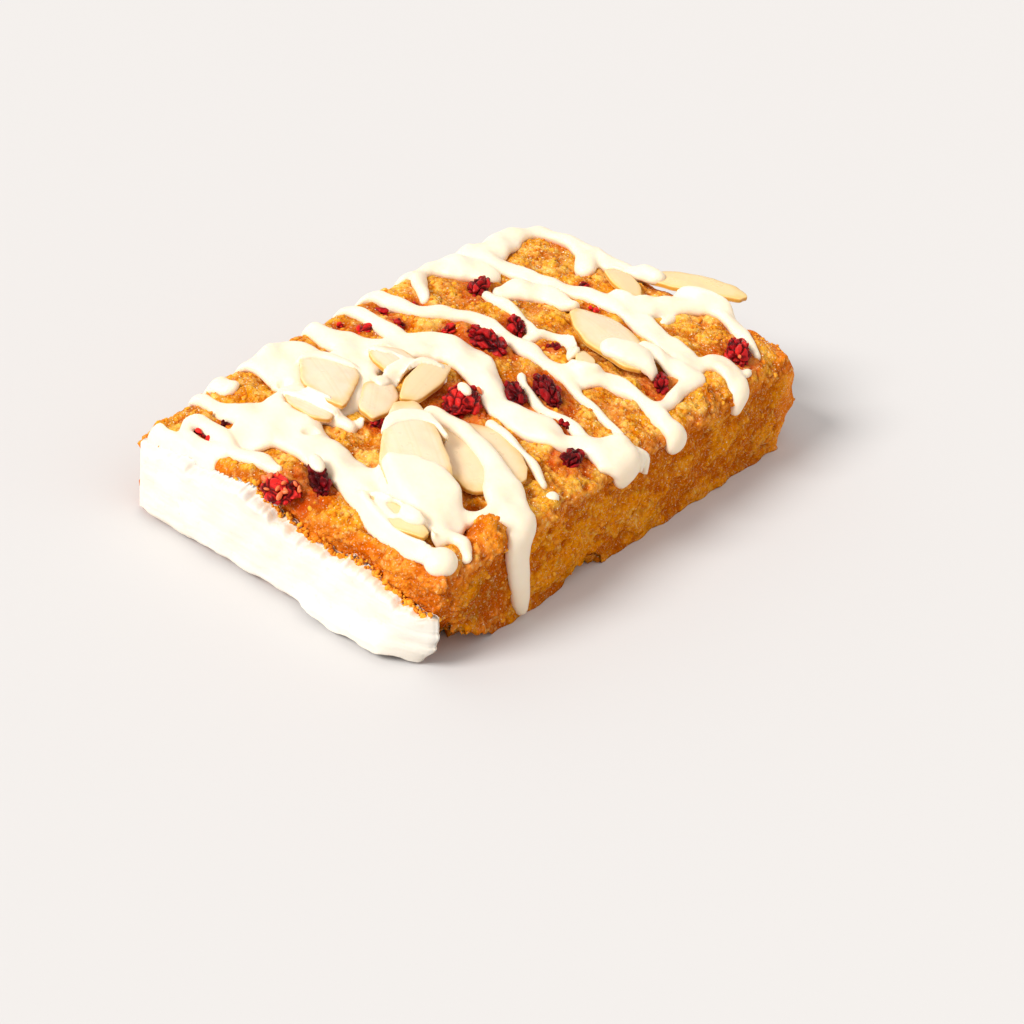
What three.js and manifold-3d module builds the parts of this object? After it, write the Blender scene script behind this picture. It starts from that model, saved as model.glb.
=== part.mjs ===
import * as THREE from 'three';
import { mergeVertices } from 'three/addons/utils/BufferGeometryUtils.js';
import Module from 'manifold-3d';

// A blondie bar: a thick slab of golden crumb with a baked crust, white chocolate
// drizzled across it and dripping down one long side, flaked almonds and raspberry
// pieces on top, and a coat of white chocolate on one short side.
// Millimetres, +Z up. +X is the baked, rounded end, -X the coated side,
// -Y the long cut side that shows the crumb.

const wasm = await Module();
wasm.setup();

// the slab's sides at its widest level, and the point that becomes the origin
const slab = { left: -42.5, right: 48.5, front: -27.4, back: 28.4 };
const origin = { x: 1.4, y: 0.5 };
const cornerRadius = { frontLeft: 1.8, backLeft: 2.4, frontRight: 6, backRight: 8 };

// thickness along the front and the back edge, from the coated side to the baked end
const frontHeight = { left: 14.95, rise: 2.0 };
const backHeight = { left: 12.3, rise: 6.1, haste: 3 };
const crown = 0.8;
const edgeLines = { front: -27, apart: 54, shortOfEnd: 4 };

const stations = { alongX: 42, alongY: 26 };
const sideShares = [0, 0.08, 0.2, 0.37, 0.57, 0.78, 1];
const crag = { top: 0.42, side: 0.38, sideStretch: 1.3, sideShift: 5, smoothFrom: -0.6 };

// the crust rounds down to its rim, more so at the baked end and at the coated corner;
// the rim lies inside the widest outline, and its height is read rimReadAt inside it
const crustRound = { drop: 0.9, reach: 2.2, inset: 0.6, height: 1.7 };
const rimReadAt = 2;
const endRound = { from: 14, length: 26, drop: 1, reach: 2.2, until: 4, fade: 12 };
const cornerRound = { from: -36, length: 4, behind: 6, drop: 0.8, reach: 2 };
const rim = { left: -41.9, right: 44.5, front: -26.8, back: 26.6 };
const pastRim = { slope: 1.6, curve: 0.4 };

// the baked end bulges: it is drawn in under its widest level and over it
const bakedEnd = { under: 6.5, underHeight: 8, over: 3.4, overFrom: 9 };
const backSide = { under: 2.2, underHeight: 6, over: 1.2, overFrom: 8 };

// broad lumps of the crust: centre, reach and rise
const lumps = [
  { at: [-30.2, -24.6], reach: 2.8, rise: 2 },
  { at: [44.4, -18.4], reach: 2.8, rise: 1.5 },
  { at: [-36.6, 22.4], reach: 3.4, rise: 1.1 },
  { at: [-28, 21.8], reach: 3.2, rise: 1 },
  { at: [10, 21.5], reach: 4.4, rise: 0.7 },
  { at: [35.5, 16], reach: 4, rise: 0.8 },
];

// pieces broken out of the bottom of the cut side: a wedge at the coated corner, whose
// ragged upper line falls from x = from, and a small notch
const cornerBite = { from: -43.5, length: 13.6, height: 7.4, depth: 6.4, shallow: 4.6 };
const biteLine = { steps: 6, ragged: 0.45, wave: 2.3 };
const edgeNotch = { at: [-9.6, -27.8, 0], half: [4.3, 2.4, 2.4], turn: 4, detail: 2 };

// the air left between nodes, and between the crumb and the coat
const gap = 0.3;
const coatGap = 0.25;

// white chocolate drizzle: a strand's height grows with its width up to full, and its
// root goes into the crust; past the front edge it bends down over edgeBend
const strand = { full: 1.55, spread: 2.2, root: 0.9, rootShare: 0.8, step: 2.6 };
const strandTip = { length: 0.42, width: 0.3 };
const flattening = { whole: 0.2, hollowed: 0.08 };
const edgeBend = 1.6;

// the strands: x, distance along the surface (past the front edge it runs down the
// side), width
const drizzle = [
  [[-38.2, 22, 1.5], [-37.1, 19.5, 2.2], [-37.8, 15.5, 3], [-39.4, 12, 2.2], [-38.6, 8, 2.8],
    [-38.8, 4.6, 1.5]],
  [[-38.4, 22, 1.5], [-40.3, 20, 2.4], [-40.6, 16.5, 2.6], [-40.2, 13, 2]],
  [[-41.6, 25, 3.2], [-42, 20, 3], [-42.2, 14, 2.4]],
  [[-32.4, 26.4, 2.2], [-32.8, 23, 2], [-32.7, 19, 4], [-31, 14, 8], [-31.2, 9, 8], [-32.2, 4, 6.4],
    [-32.7, -0.5, 5.4], [-34, -5.5, 6.2], [-32.8, -10.5, 8.4], [-32, -15, 9], [-33.4, -19.4, 6.6]],
  [[-35.4, -5, 3], [-38.6, -9.3, 2.4], [-40.4, -13, 2.2], [-41.3, -17, 2], [-41.3, -20.4, 2.2],
    [-40.6, -23.8, 4.6]],
  [[-36.9, -21.6, 2.2], [-35.1, -22.2, 2.4], [-34.9, -24.2, 2], [-36.6, -26.4, 1.4]],
  [[-28.6, 26.4, 3.4], [-28.8, 23.6, 3.4]],
  [[-19.5, 26, 8.6], [-19, 23, 10], [-19, 18, 12], [-19.5, 12, 13]],
  [[-34, 12.5, 8], [-27, 12, 10], [-20, 13, 10], [-13, 14, 9], [-6, 13, 7]],
  [[-24.8, 7, 3], [-25, 3.8, 1.6]],
  [[-8.2, 27.6, 2.6], [-9.2, 25.5, 3], [-9.5, 20, 5], [-8, 14, 7], [-3, 11, 6.5], [-0.2, 7.5, 7],
    [0, 3.5, 6.4], [-1.2, 0, 5.4], [-3.4, -3.4, 4.8], [-5.8, -6.6, 3.8], [-6.6, -10, 4.8],
    [-6.5, -15, 6], [-6.4, -18.5, 4.2], [-4.2, -22, 5], [-3, -25, 8.4], [-2.6, -28, 5.6]],
  [[-1.5, 27.6, 2.4], [-1.2, 25, 2.3], [-1.4, 20, 2.4], [-2.4, 15, 3.6]],
  [[2.6, -4.5, 1.5], [0.8, -6.6, 1.2], [-1, -9.6, 1.5], [-2.4, -13.4, 1.3], [-1.9, -16.6, 1.8],
    [-3.2, -20.4, 2.4]],
  [[3, 27.6, 2.4], [4.8, 25, 2.4], [5.2, 21, 2.8], [5.8, 17.6, 3.2], [9, 13.2, 3.1], [10.5, 9.6, 2.8],
    [9.6, 4.5, 2.5], [9.2, -0.5, 3.5], [8.3, -5, 2.5], [7.8, -9.6, 4.2]],
  [[6.8, -10.4, 2.6], [5.1, -13.6, 1.6], [3.8, -17.6, 1.7], [1.4, -23.4, 1.3]],
  [[8.6, -10.4, 4], [11.2, -13.6, 3.2], [11.8, -17.6, 2.4], [11, -21.4, 2.6], [9.6, -25, 3.3],
    [9.8, -28.6, 4]],
  [[-14.6, -1.6, 2.4], [-14.5, -5, 2.8], [-16.6, -11, 2.8], [-19.4, -16.8, 3.4], [-23, -21.4, 5.4],
    [-25, -25, 5.4], [-26.8, -28.6, 4.8], [-26.6, -31.4, 3.8], [-25.6, -35, 3.6], [-24.6, -39, 3],
    [-24.2, -40.4, 2.2]],
  [[-36, -17.4, 5], [-31.6, -19.6, 3], [-27.6, -21, 3.2], [-24, -21.6, 4]],
  [[-10.4, -9.2, 1.8], [-12, -14, 1.6], [-13.4, -18, 1.6], [-16.4, -23.2, 1.2]],
  [[12, 1.6, 2], [14.4, 0.6, 1.6], [15.9, -1.6, 1.6], [14.6, -4.6, 1.8], [12.4, -6.4, 2]],
  [[10.6, -22.6, 3], [14, -22.6, 2.5], [18, -22, 2.4], [22.6, -21.4, 3.6]],
  [[17.4, 13.8, 2], [17, 11, 2.2], [16.2, 7, 2], [13.4, 1.6, 1.8]],
  [[20, 13, 3], [23, 11.4, 5], [24.8, 7.6, 3.8], [24.4, 3, 3]],
  [[16.4, 26.2, 2], [12.8, 23.4, 2.6], [9, 19.2, 1.6]],
  [[12.6, 27, 3.6], [18.6, 26, 5.6], [21.4, 22.6, 6.4], [22.6, 17.6, 4]],
  [[26.6, 27.2, 4], [26.6, 22, 4.6], [26.8, 15, 3], [28.4, 9, 3], [29.6, 3, 3.3], [30.8, -3, 5],
    [28.4, -9, 4.2], [26.6, -14, 4.6], [25, -19, 5]],
  [[21.6, -13, 2.6], [22, -17, 3.2], [22.8, -21, 3.8]],
  [[17.2, -10.4, 4.6], [18, -13.4, 5.6], [17.6, -17, 2]],
  [[25.4, -19.8, 2.6], [29, -21.4, 4.4], [28.4, -24.4, 4.4], [26.6, -27.6, 3.2], [26, -29.6, 1.8]],
  [[27, 22, 6], [33, 23.6, 6], [38, 24, 5], [42, 22, 4.4], [43, 17, 4], [41.5, 12.4, 4.6],
    [37, 9.4, 3.6]],
  [[44.2, 12.4, 2.6], [41.8, 9, 4.6], [42, 4, 4.4], [41.4, -1, 3.6]],
  [[30.6, -4.4, 4.8], [35, -6, 4.6], [40, -8.8, 5.2], [42, -12, 3.8], [41.2, -16, 3], [38.6, -20, 2.6],
    [36.4, -23.8, 1.3]],
];

// crumbs of raspberry and drops of chocolate fused to the crust: centre, half sizes
const crumbHeight = 0.8;
const crumbs = [
  [-38.6, 18.8, 0.7, 2.3], [-35.1, 18, 0.9, 0.8], [-21.9, 1.8, 1.4, 1.2], [-3.9, 19.8, 1.9, 1.6],
  [-5.5, 23.2, 0.6, 1.3], [2.2, 22.4, 1.3, 1.9], [1.2, 17.6, 1.2, 1.8], [7.2, 19, 1.2, 2],
  [26.9, 0.5, 1.1, 1.5], [13.1, -2.4, 1.3, 1.4], [31.9, 6, 1.1, 1], [6, 11.3, 2.4, 1.2],
  [-2.8, -16.2, 0.8, 1.8], [19.8, -17.8, 0.8, 1.3],
];
const drops = [[-17.6, -25.6, 1.1, 1], [31.2, -25.2, 1.2, 0.8], [33.5, -9, 2.4, 0.9]];

// flaked almonds: centre, half length and half width, direction of the length in
// degrees from +X, lift of the centre over the crust, slopes along and across, how far
// the ends bend down, how far a broken end is cut back (1 is whole), how square the
// outline is (2 is an ellipse), and whether the drizzle runs over it
const flake = { thick: 1, rimThick: 0.7, rings: 2, sides: 16, taper: 0.2, cup: 0.4, lifting: 0.35 };
const almonds = [
  { at: [-26, -9], half: [11, 4.6], turn: 54, lift: 2.7, slope: [0.13, -0.05], bend: 0.6, cut: 0.86,
    square: 2.4, under: true },
  { at: [-18.3, -13.1], half: [9, 5.1], turn: 61, lift: 0.6, slope: [0, -0.03], bend: 0.5, cut: 1,
    square: 2.5, under: true },
  { at: [-18.2, 5], half: [5.1, 2.4], turn: 36, lift: 1.2, slope: [0.05, 0.08], bend: 0.3, cut: 0.72,
    square: 2.2, under: false },
  { at: [-10.8, 3.1], half: [6.4, 2.7], turn: 196, lift: 1.7, slope: [-0.02, -0.16], bend: 0.3, cut: 1,
    square: 2.2, under: false },
  { at: [-38.2, -15.4], half: [6, 1.8], turn: 84, lift: 1.3, slope: [0.02, -0.25], bend: 0.3, cut: 1,
    square: 2, under: true },
  { at: [20.3, -7.3], half: [9.5, 4.8], turn: 70, lift: 1.3, slope: [0.03, 0.04], bend: 0.7, cut: 1,
    square: 2.3, under: true },
  { at: [44.2, -7], half: [8.8, 3.5], turn: 108, lift: 1.5, slope: [-0.02, -0.06], bend: 0.3, cut: 0.9,
    square: 2, under: true },
  { at: [36.2, 1.4], half: [5.2, 2.9], turn: 62, lift: 0.9, slope: [0.04, 0.1], bend: 0.3, cut: 1,
    square: 2, under: true },
  { at: [11.8, -9.1], half: [3.2, 2.1], turn: 40, lift: 1, slope: [0.05, 0.1], bend: 0.2, cut: 1,
    square: 2, under: true },
  { at: [-19.6, 13.2], half: [7.3, 4.5], turn: 62, lift: 2, slope: [0, 0], bend: 0.3, cut: 1,
    square: 1.5, under: false },
  { at: [-9.4, 10.4], half: [3.7, 2.8], turn: 75, lift: 1.5, slope: [0.02, 0.04], bend: 0.3, cut: 0.85,
    square: 2.4, under: false },
  { at: [-26.4, 10.6], half: [4.4, 1.7], turn: 92, lift: 1.2, slope: [0, 0], bend: 0.1, cut: 1,
    square: 3, under: false },
];

// raspberry pieces: centre, half sizes, direction of the length, lift of the centre
const bead = { count: 17, radius: 0.52, depth: 0.24, hollowDetail: 2 };
const berries = [
  { at: [-42, 1], half: [3.9, 3.1, 1.8], turn: 60, lift: 0.2, detail: 3 },
  { at: [-37.4, -1.2], half: [4.4, 2, 2.3], turn: 55, lift: 0.5, detail: 2 },
  { at: [-9.2, -2.9], half: [5, 3.5, 2.4], turn: 30, lift: 0.4, detail: 3 },
  { at: [-1.9, -6.9], half: [3.5, 1.9, 2.1], turn: 52, lift: 0.2, detail: 2 },
  { at: [2, -9.6], half: [5.6, 2.5, 2.3], turn: 55, lift: 0.4, detail: 3 },
  { at: [5.9, 4.8], half: [5, 2.2, 2.3], turn: 78, lift: 0.4, detail: 3 },
  { at: [-8.8, -22.2], half: [3, 2.1, 1.8], turn: 25, lift: 0.2, detail: 2 },
  { at: [34, -21.8], half: [4, 2.9, 2.3], turn: 40, lift: 0.5, detail: 3 },
  { at: [17.2, -19], half: [3.2, 1.8, 1.9], turn: 35, lift: 0.2, detail: 2 },
  { at: [13.2, 4.6], half: [3.4, 1.9, 2], turn: 45, lift: 0.3, detail: 2 },
  { at: [18.2, 16], half: [3.3, 2.2, 2], turn: 20, lift: 0.3, detail: 2 },
];

// the coat of white chocolate on the short side at -X
const coat = { thick: 1.3, bulge: 0.7, rough: 0.25, bottom: 0.7, front: -27.2, back: 26.4 };
const coatGrid = { rows: 22, levels: 5 };
const coatFoot = { depth: 2.8, height: 5, from: -25, fromLength: 6, to: -3, toLength: 8 };
const coatTop = { under: 1.5, front: 8.3, middle: 10.5, ragged: 0.3, wave: 1.7 };
const coatRise = { sinksFrom: -13, sinksOver: 11, climbsFrom: -3, climbsOver: 9 };
const coatEnd = { cut: 1.6, height: 2.6, ragged: 0.5 };
const coatRim = { thin: 0.35, sides: 7.6, ends: 4 };

const colours = { crust: 0xd0893c, chocolate: 0xfbf3de, almond: 0xf6e6c4, berry: 0xb01322 };

const clamp = (value, low, high) => Math.min(high, Math.max(low, value));

function smooth(value) {
  const t = clamp(value, 0, 1);
  return t * t * (3 - 2 * t);
}

function radians(degrees) {
  return degrees * Math.PI / 180;
}

// a smooth unevenness between -1 and 1, the sum of three crossed waves
function unevenness(x, y, z) {
  const a = Math.sin(0.83 * x + 0.61 * y + 0.35 * z + 0.4);
  const b = Math.sin(-0.57 * x + 1.04 * y + 0.71 * z + 2.1);
  const c = Math.sin(1.21 * x - 0.43 * y + 0.93 * z + 4.0);
  return (a + b + c) / 3;
}

// the height of the crust over the base, before its crags and its rounded rim
function crustHeight(x, y) {
  const u = clamp((x - slab.left) / (slab.right - edgeLines.shortOfEnd - slab.left), 0, 1);
  const v = clamp((y - edgeLines.front) / edgeLines.apart, 0, 1);
  const front = frontHeight.left + frontHeight.rise * u;
  const back = backHeight.left + backHeight.rise * (1 - (1 - u) ** backHeight.haste);
  return front * (1 - v) + back * v + crown * 4 * v * (1 - v);
}

// how far (x, y) lies inside the crust's rim
function insideRim(x, y) {
  const dx = Math.min(x - rim.left, rim.right - x);
  const dy = Math.min(y - rim.front, rim.back - y);
  const radius = cornerRadiusAt(x, y);
  if (dx >= radius || dy >= radius) return Math.min(dx, dy);
  return radius - Math.hypot(radius - dx, radius - dy);
}

function cornerRadiusAt(x, y) {
  if (x > 0) return y > 0 ? cornerRadius.backRight : cornerRadius.frontRight;
  return y > 0 ? cornerRadius.backLeft : cornerRadius.frontLeft;
}

// how far the crust rounds down to its rim near (x, y), and over what width
function roundingAt(x, y) {
  const end = smooth((x - endRound.from) / endRound.length)
    * smooth(1 - (y - endRound.until) / endRound.fade);
  const corner = smooth((cornerRound.from - x) / cornerRound.length) * smooth(-y / cornerRound.behind);
  const drop = crustRound.drop + endRound.drop * end + cornerRound.drop * corner;
  const reach = crustRound.reach + endRound.reach * end + cornerRound.reach * corner;
  return { drop, reach };
}

// how far the surface has fallen at (x, y) where it rounds to the rim and runs past it
function rimFall(x, y) {
  const inside = insideRim(x, y);
  const { drop, reach } = roundingAt(x, y);
  if (inside >= 0) return drop * Math.max(0, 1 - inside / reach) ** 2;
  return drop - pastRim.slope * inside + pastRim.curve * inside * inside;
}

function lumpHeight(x, y) {
  let rise = 0;
  for (const { at, reach, rise: full } of lumps) {
    const r = Math.hypot(x - at[0], y - at[1]) / reach;
    rise += full * Math.max(0, 1 - r * r) ** 2;
  }
  return rise;
}

function craggyHeight(x, y) {
  return crustHeight(x, y) + crag.top * unevenness(x, y, 0) + lumpHeight(x, y);
}

// a point of the rounded outline for (u, v) on the rim of the square from -1 to 1
function outlinePoint(u, v) {
  const half = { x: (slab.right - slab.left) / 2, y: (slab.back - slab.front) / 2 };
  const centre = { x: (slab.right + slab.left) / 2, y: (slab.back + slab.front) / 2 };
  const radius = cornerRadiusAt(u, v);
  const px = half.x * u;
  const py = half.y * v;
  const qx = clamp(px, radius - half.x, half.x - radius);
  const qy = clamp(py, radius - half.y, half.y - radius);
  const length = Math.hypot(px - qx, py - qy);
  const nx = (px - qx) / length;
  const ny = (py - qy) / length;
  return { x: centre.x + qx + radius * nx, y: centre.y + qy + radius * ny, nx, ny };
}

function drawnIn(z, height, side) {
  const under = side.under * Math.max(0, 1 - z / side.underHeight) ** 3;
  const over = side.over * Math.max(0, (z - side.overFrom) / (height - side.overFrom)) ** 2;
  return under + over;
}

// how far the side lies inside the outline at height z, under a rim at height top
function sideInset(point, z, top) {
  const right = point.nx > 0 ? point.nx * drawnIn(z, top, bakedEnd) : 0;
  const back = point.ny > 0 ? point.ny * drawnIn(z, top, backSide) : 0;
  const rounding = crustRound.inset * clamp(1 - (top - z) / crustRound.height, 0, 1) ** 2;
  return right + back + rounding;
}

function sidePoint(u, v, z, top) {
  const edge = outlinePoint(u, v);
  const inset = sideInset(edge, z, top);
  const underCoat = edge.nx < crag.smoothFrom;
  const wave = unevenness(edge.x, edge.y, crag.sideStretch * z + crag.sideShift);
  const rough = underCoat ? 0 : crag.side * wave;
  const x = edge.x - edge.nx * inset + edge.nx * rough;
  const y = edge.y - edge.ny * inset + edge.ny * rough;
  return [x, y, z];
}

// the height of the crust's rim over the outline's (u, v)
function rimHeight(u, v) {
  const edge = outlinePoint(u, v);
  const [x, y] = [edge.x - rimReadAt * edge.nx, edge.y - rimReadAt * edge.ny];
  return crustHeight(x, y) - roundingAt(x, y).drop;
}

// stations round the rim of the square, anticlockwise from its front left corner
function rimStations() {
  const { alongX, alongY } = stations;
  const list = [];
  for (let i = 0; i < alongX; i++) list.push([i, 0]);
  for (let j = 0; j < alongY; j++) list.push([alongX, j]);
  for (let i = alongX; i > 0; i--) list.push([i, alongY]);
  for (let j = alongY; j > 0; j--) list.push([0, j]);
  return list;
}

const toSquare = ([i, j]) => [2 * i / stations.alongX - 1, 2 * j / stations.alongY - 1];

function slabGeometry() {
  const { alongX, alongY } = stations;
  const edge = rimStations();
  const count = edge.length;
  const positions = [];
  const faces = [];
  const levels = [...sideShares.map((share) => (top) => share * (top - crustRound.height)), (top) => top];
  for (const levelAt of levels) {
    for (const station of edge) {
      const [u, v] = toSquare(station);
      const top = rimHeight(u, v);
      positions.push(...sidePoint(u, v, levelAt(top), top));
    }
  }
  for (let k = 0; k + 1 < levels.length; k++) {
    for (let i = 0; i < count; i++) {
      const a = k * count + i;
      const b = k * count + (i + 1) % count;
      faces.push(a, b, b + count, a, b + count, a + count);
    }
  }
  const grid = new Map();
  const key = (i, j) => i * (alongY + 1) + j;
  edge.forEach(([i, j], index) => grid.set(key(i, j), (levels.length - 1) * count + index));
  const centre = { x: (slab.right + slab.left) / 2, y: (slab.back + slab.front) / 2 };
  for (let i = 1; i < alongX; i++) {
    for (let j = 1; j < alongY; j++) {
      const [u, v] = toSquare([i, j]);
      const m = Math.max(Math.abs(u), Math.abs(v));
      const [rimU, rimV] = m > 0 ? [u / m, v / m] : [1, 0];
      const top = rimHeight(rimU, rimV);
      const [ex, ey] = sidePoint(rimU, rimV, top, top);
      const x = centre.x + m * (ex - centre.x);
      const y = centre.y + m * (ey - centre.y);
      grid.set(key(i, j), positions.length / 3);
      positions.push(x, y, craggyHeight(x, y) - rimFall(x, y));
    }
  }
  for (let i = 0; i < alongX; i++) {
    for (let j = 0; j < alongY; j++) {
      const [a, b] = [grid.get(key(i, j)), grid.get(key(i + 1, j))];
      const [c, d] = [grid.get(key(i + 1, j + 1)), grid.get(key(i, j + 1))];
      faces.push(a, b, c, a, c, d);
    }
  }
  const base = edge.map((_, i) => new THREE.Vector2(positions[3 * i], positions[3 * i + 1]));
  for (const [a, b, c] of THREE.ShapeUtils.triangulateShape(base, [])) faces.push(a, c, b);
  return meshFrom(positions, faces);
}

// the wedge that is missing from the bottom of the coated corner: it gets shallower
// towards x = from + length
function cornerBiteGeometry() {
  const { from, length, height, depth, shallow } = cornerBite;
  const { steps, ragged, wave } = biteLine;
  const outside = 2;
  const shape = new THREE.Shape();
  shape.moveTo(from - outside, -outside);
  shape.lineTo(from + length, -outside);
  for (let k = 0; k <= steps; k++) {
    const x = from + length * (1 - k / steps);
    shape.lineTo(x, height * k / steps + ragged * Math.sin(wave * x));
  }
  shape.lineTo(from - outside, height);
  const wedge = new THREE.ExtrudeGeometry(shape, { depth: depth + outside, bevelEnabled: false });
  wedge.rotateX(Math.PI / 2);
  wedge.translate(0, slab.front + depth, 0);
  const p = wedge.attributes.position;
  for (let i = 0; i < p.count; i++) {
    if (p.getY(i) > slab.front) p.setY(i, p.getY(i) - shallow * (p.getX(i) - from) / length);
  }
  return bare(wedge);
}

function bare(geometry) {
  geometry.deleteAttribute('normal');
  geometry.deleteAttribute('uv');
  return mergeVertices(geometry);
}

// an ellipsoid of few faces, turned about the vertical
function lumpGeometry(at, half, detail, turn = 0) {
  const ball = new THREE.IcosahedronGeometry(1, detail);
  ball.scale(...half);
  ball.rotateZ(radians(turn));
  ball.translate(...at);
  return bare(ball);
}

function meshFrom(positions, faces) {
  const geometry = new THREE.BufferGeometry();
  geometry.setAttribute('position', new THREE.Float32BufferAttribute(positions, 3));
  geometry.setIndex(faces);
  return geometry;
}

// a closed skin between two grids of points that share their rim order
function gridSkin(columns, rows, pointAt) {
  const positions = [];
  for (let side = 0; side < 2; side++) {
    for (let i = 0; i <= columns; i++) {
      for (let j = 0; j <= rows; j++) positions.push(...pointAt(i / columns, j / rows, side));
    }
  }
  const at = (side, i, j) => side * (columns + 1) * (rows + 1) + i * (rows + 1) + j;
  const faces = [];
  const quad = (a, b, c, d) => faces.push(a, b, c, a, c, d);
  for (let i = 0; i < columns; i++) {
    for (let j = 0; j < rows; j++) {
      quad(at(0, i, j), at(0, i + 1, j), at(0, i + 1, j + 1), at(0, i, j + 1));
      quad(at(1, i, j), at(1, i, j + 1), at(1, i + 1, j + 1), at(1, i + 1, j));
    }
  }
  for (let i = 0; i < columns; i++) {
    quad(at(0, i, 0), at(1, i, 0), at(1, i + 1, 0), at(0, i + 1, 0));
    quad(at(0, i, rows), at(0, i + 1, rows), at(1, i + 1, rows), at(1, i, rows));
  }
  for (let j = 0; j < rows; j++) {
    quad(at(0, 0, j), at(0, 0, j + 1), at(1, 0, j + 1), at(1, 0, j));
    quad(at(0, columns, j), at(1, columns, j), at(1, columns, j + 1), at(0, columns, j + 1));
  }
  return meshFrom(positions, faces);
}

function signedVolume(geometry) {
  const p = geometry.attributes.position;
  const index = geometry.index.array;
  const [a, b, c] = [new THREE.Vector3(), new THREE.Vector3(), new THREE.Vector3()];
  let volume = 0;
  for (let i = 0; i < index.length; i += 3) {
    a.fromBufferAttribute(p, index[i]);
    b.fromBufferAttribute(p, index[i + 1]);
    c.fromBufferAttribute(p, index[i + 2]);
    volume += a.dot(b.cross(c)) / 6;
  }
  return volume;
}

function facingOut(geometry) {
  if (signedVolume(geometry) > 0) return geometry;
  const index = Array.from(geometry.index.array);
  for (let i = 0; i < index.length; i += 3) [index[i + 1], index[i + 2]] = [index[i + 2], index[i + 1]];
  geometry.setIndex(index);
  return geometry;
}

function toManifold(geometry) {
  const merged = facingOut(geometry);
  const vertProperties = new Float32Array(merged.attributes.position.array);
  const triVerts = new Uint32Array(merged.index.array);
  return new wasm.Manifold(new wasm.Mesh({ numProp: 3, vertProperties, triVerts }));
}

function toGeometry(manifold) {
  const { vertProperties, triVerts } = manifold.getMesh();
  return meshFrom(Array.from(vertProperties), Array.from(triVerts));
}

// how high the mid surface of an almond flake lies at (x, y), and how near its rim
function almondSurface(almond, x, y) {
  const angle = radians(almond.turn);
  const [dx, dy] = [x - almond.at[0], y - almond.at[1]];
  const p = (dx * Math.cos(angle) + dy * Math.sin(angle)) / almond.half[0];
  const q = (dy * Math.cos(angle) - dx * Math.sin(angle)) / (almond.half[1] * (1 - flake.taper * p));
  const centre = crustHeight(...almond.at) + almond.lift;
  const slope = almond.slope[0] * p * almond.half[0] + almond.slope[1] * q * almond.half[1];
  const rim = (Math.abs(p) ** almond.square + Math.abs(q) ** almond.square) ** (1 / almond.square);
  return { z: centre + slope - almond.bend * (p * p + flake.cup * q * q), rim };
}

function almondGeometry(almond, grow) {
  const angle = radians(almond.turn);
  const [cos, sin] = [Math.cos(angle), Math.sin(angle)];
  const [length, width] = [almond.half[0] + grow, almond.half[1] + grow];
  const positions = [];
  for (const side of [1, -1]) {
    for (let ring = 0; ring <= flake.rings; ring++) {
      const count = ring === 0 ? 1 : flake.sides;
      for (let k = 0; k < count; k++) {
        const around = 2 * Math.PI * k / flake.sides;
        const [c, d] = [Math.cos(around), Math.sin(around)];
        const rim = (Math.abs(c) ** almond.square + Math.abs(d) ** almond.square) ** (-1 / almond.square);
        const p = Math.min(ring / flake.rings * rim * c, almond.cut + grow / length);
        const q = ring / flake.rings * rim * d * (1 - flake.taper * p);
        const x = almond.at[0] + p * length * cos - q * width * sin;
        const y = almond.at[1] + p * length * sin + q * width * cos;
        const half = (ring === flake.rings ? flake.rimThick : flake.thick) / 2 + grow;
        positions.push(x, y, almondSurface(almond, x, y).z + side * half);
      }
    }
  }
  const perSide = 1 + flake.rings * flake.sides;
  const inRing = (ring, k) => (ring === 0 ? 0 : 1 + (ring - 1) * flake.sides + k % flake.sides);
  const at = (side, ring, k) => side * perSide + inRing(ring, k);
  const faces = [];
  for (let k = 0; k < flake.sides; k++) {
    faces.push(at(0, 0, 0), at(0, 1, k), at(0, 1, k + 1), at(1, 0, 0), at(1, 1, k + 1), at(1, 1, k));
    for (let ring = 1; ring < flake.rings; ring++) {
      const [a, b] = [at(0, ring, k), at(0, ring + 1, k)];
      const [c, d] = [at(0, ring + 1, k + 1), at(0, ring, k + 1)];
      faces.push(a, b, c, a, c, d);
      faces.push(a + perSide, c + perSide, b + perSide, a + perSide, d + perSide, c + perSide);
    }
    const [a, b] = [at(0, flake.rings, k), at(0, flake.rings, k + 1)];
    faces.push(a, a + perSide, b + perSide, a, b + perSide, b);
  }
  return meshFrom(positions, faces);
}

// a raspberry piece: an ellipsoid whose skin rises in a spiral of rounded beads
function berryGeometry(berry, grow) {
  const geometry = bare(new THREE.IcosahedronGeometry(1, grow > 0 ? bead.hollowDetail : berry.detail));
  const beads = [];
  for (let k = 0; k < bead.count; k++) {
    const z = 1 - 2 * (k + 0.5) / bead.count;
    const around = k * Math.PI * (3 - Math.sqrt(5)) + berry.turn;
    const flat = Math.sqrt(1 - z * z);
    beads.push(new THREE.Vector3(flat * Math.cos(around), flat * Math.sin(around), z));
  }
  const angle = radians(berry.turn);
  const centre = crustHeight(...berry.at) + berry.lift;
  const p = geometry.attributes.position;
  const point = new THREE.Vector3();
  for (let i = 0; i < p.count; i++) {
    point.fromBufferAttribute(p, i).normalize();
    const nearest = Math.min(...beads.map((middle) => middle.angleTo(point)));
    const round = Math.sqrt(Math.max(0, 1 - (nearest / bead.radius) ** 2));
    const rise = grow > 0 ? 1 : 1 - bead.depth * (1 - round);
    const a = point.x * (berry.half[0] * rise + grow);
    const b = point.y * (berry.half[1] * rise + grow);
    const x = berry.at[0] + a * Math.cos(angle) - b * Math.sin(angle);
    const y = berry.at[1] + a * Math.sin(angle) + b * Math.cos(angle);
    p.setXYZ(i, x, y, centre + point.z * (berry.half[2] * rise + grow));
  }
  return geometry;
}

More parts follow.
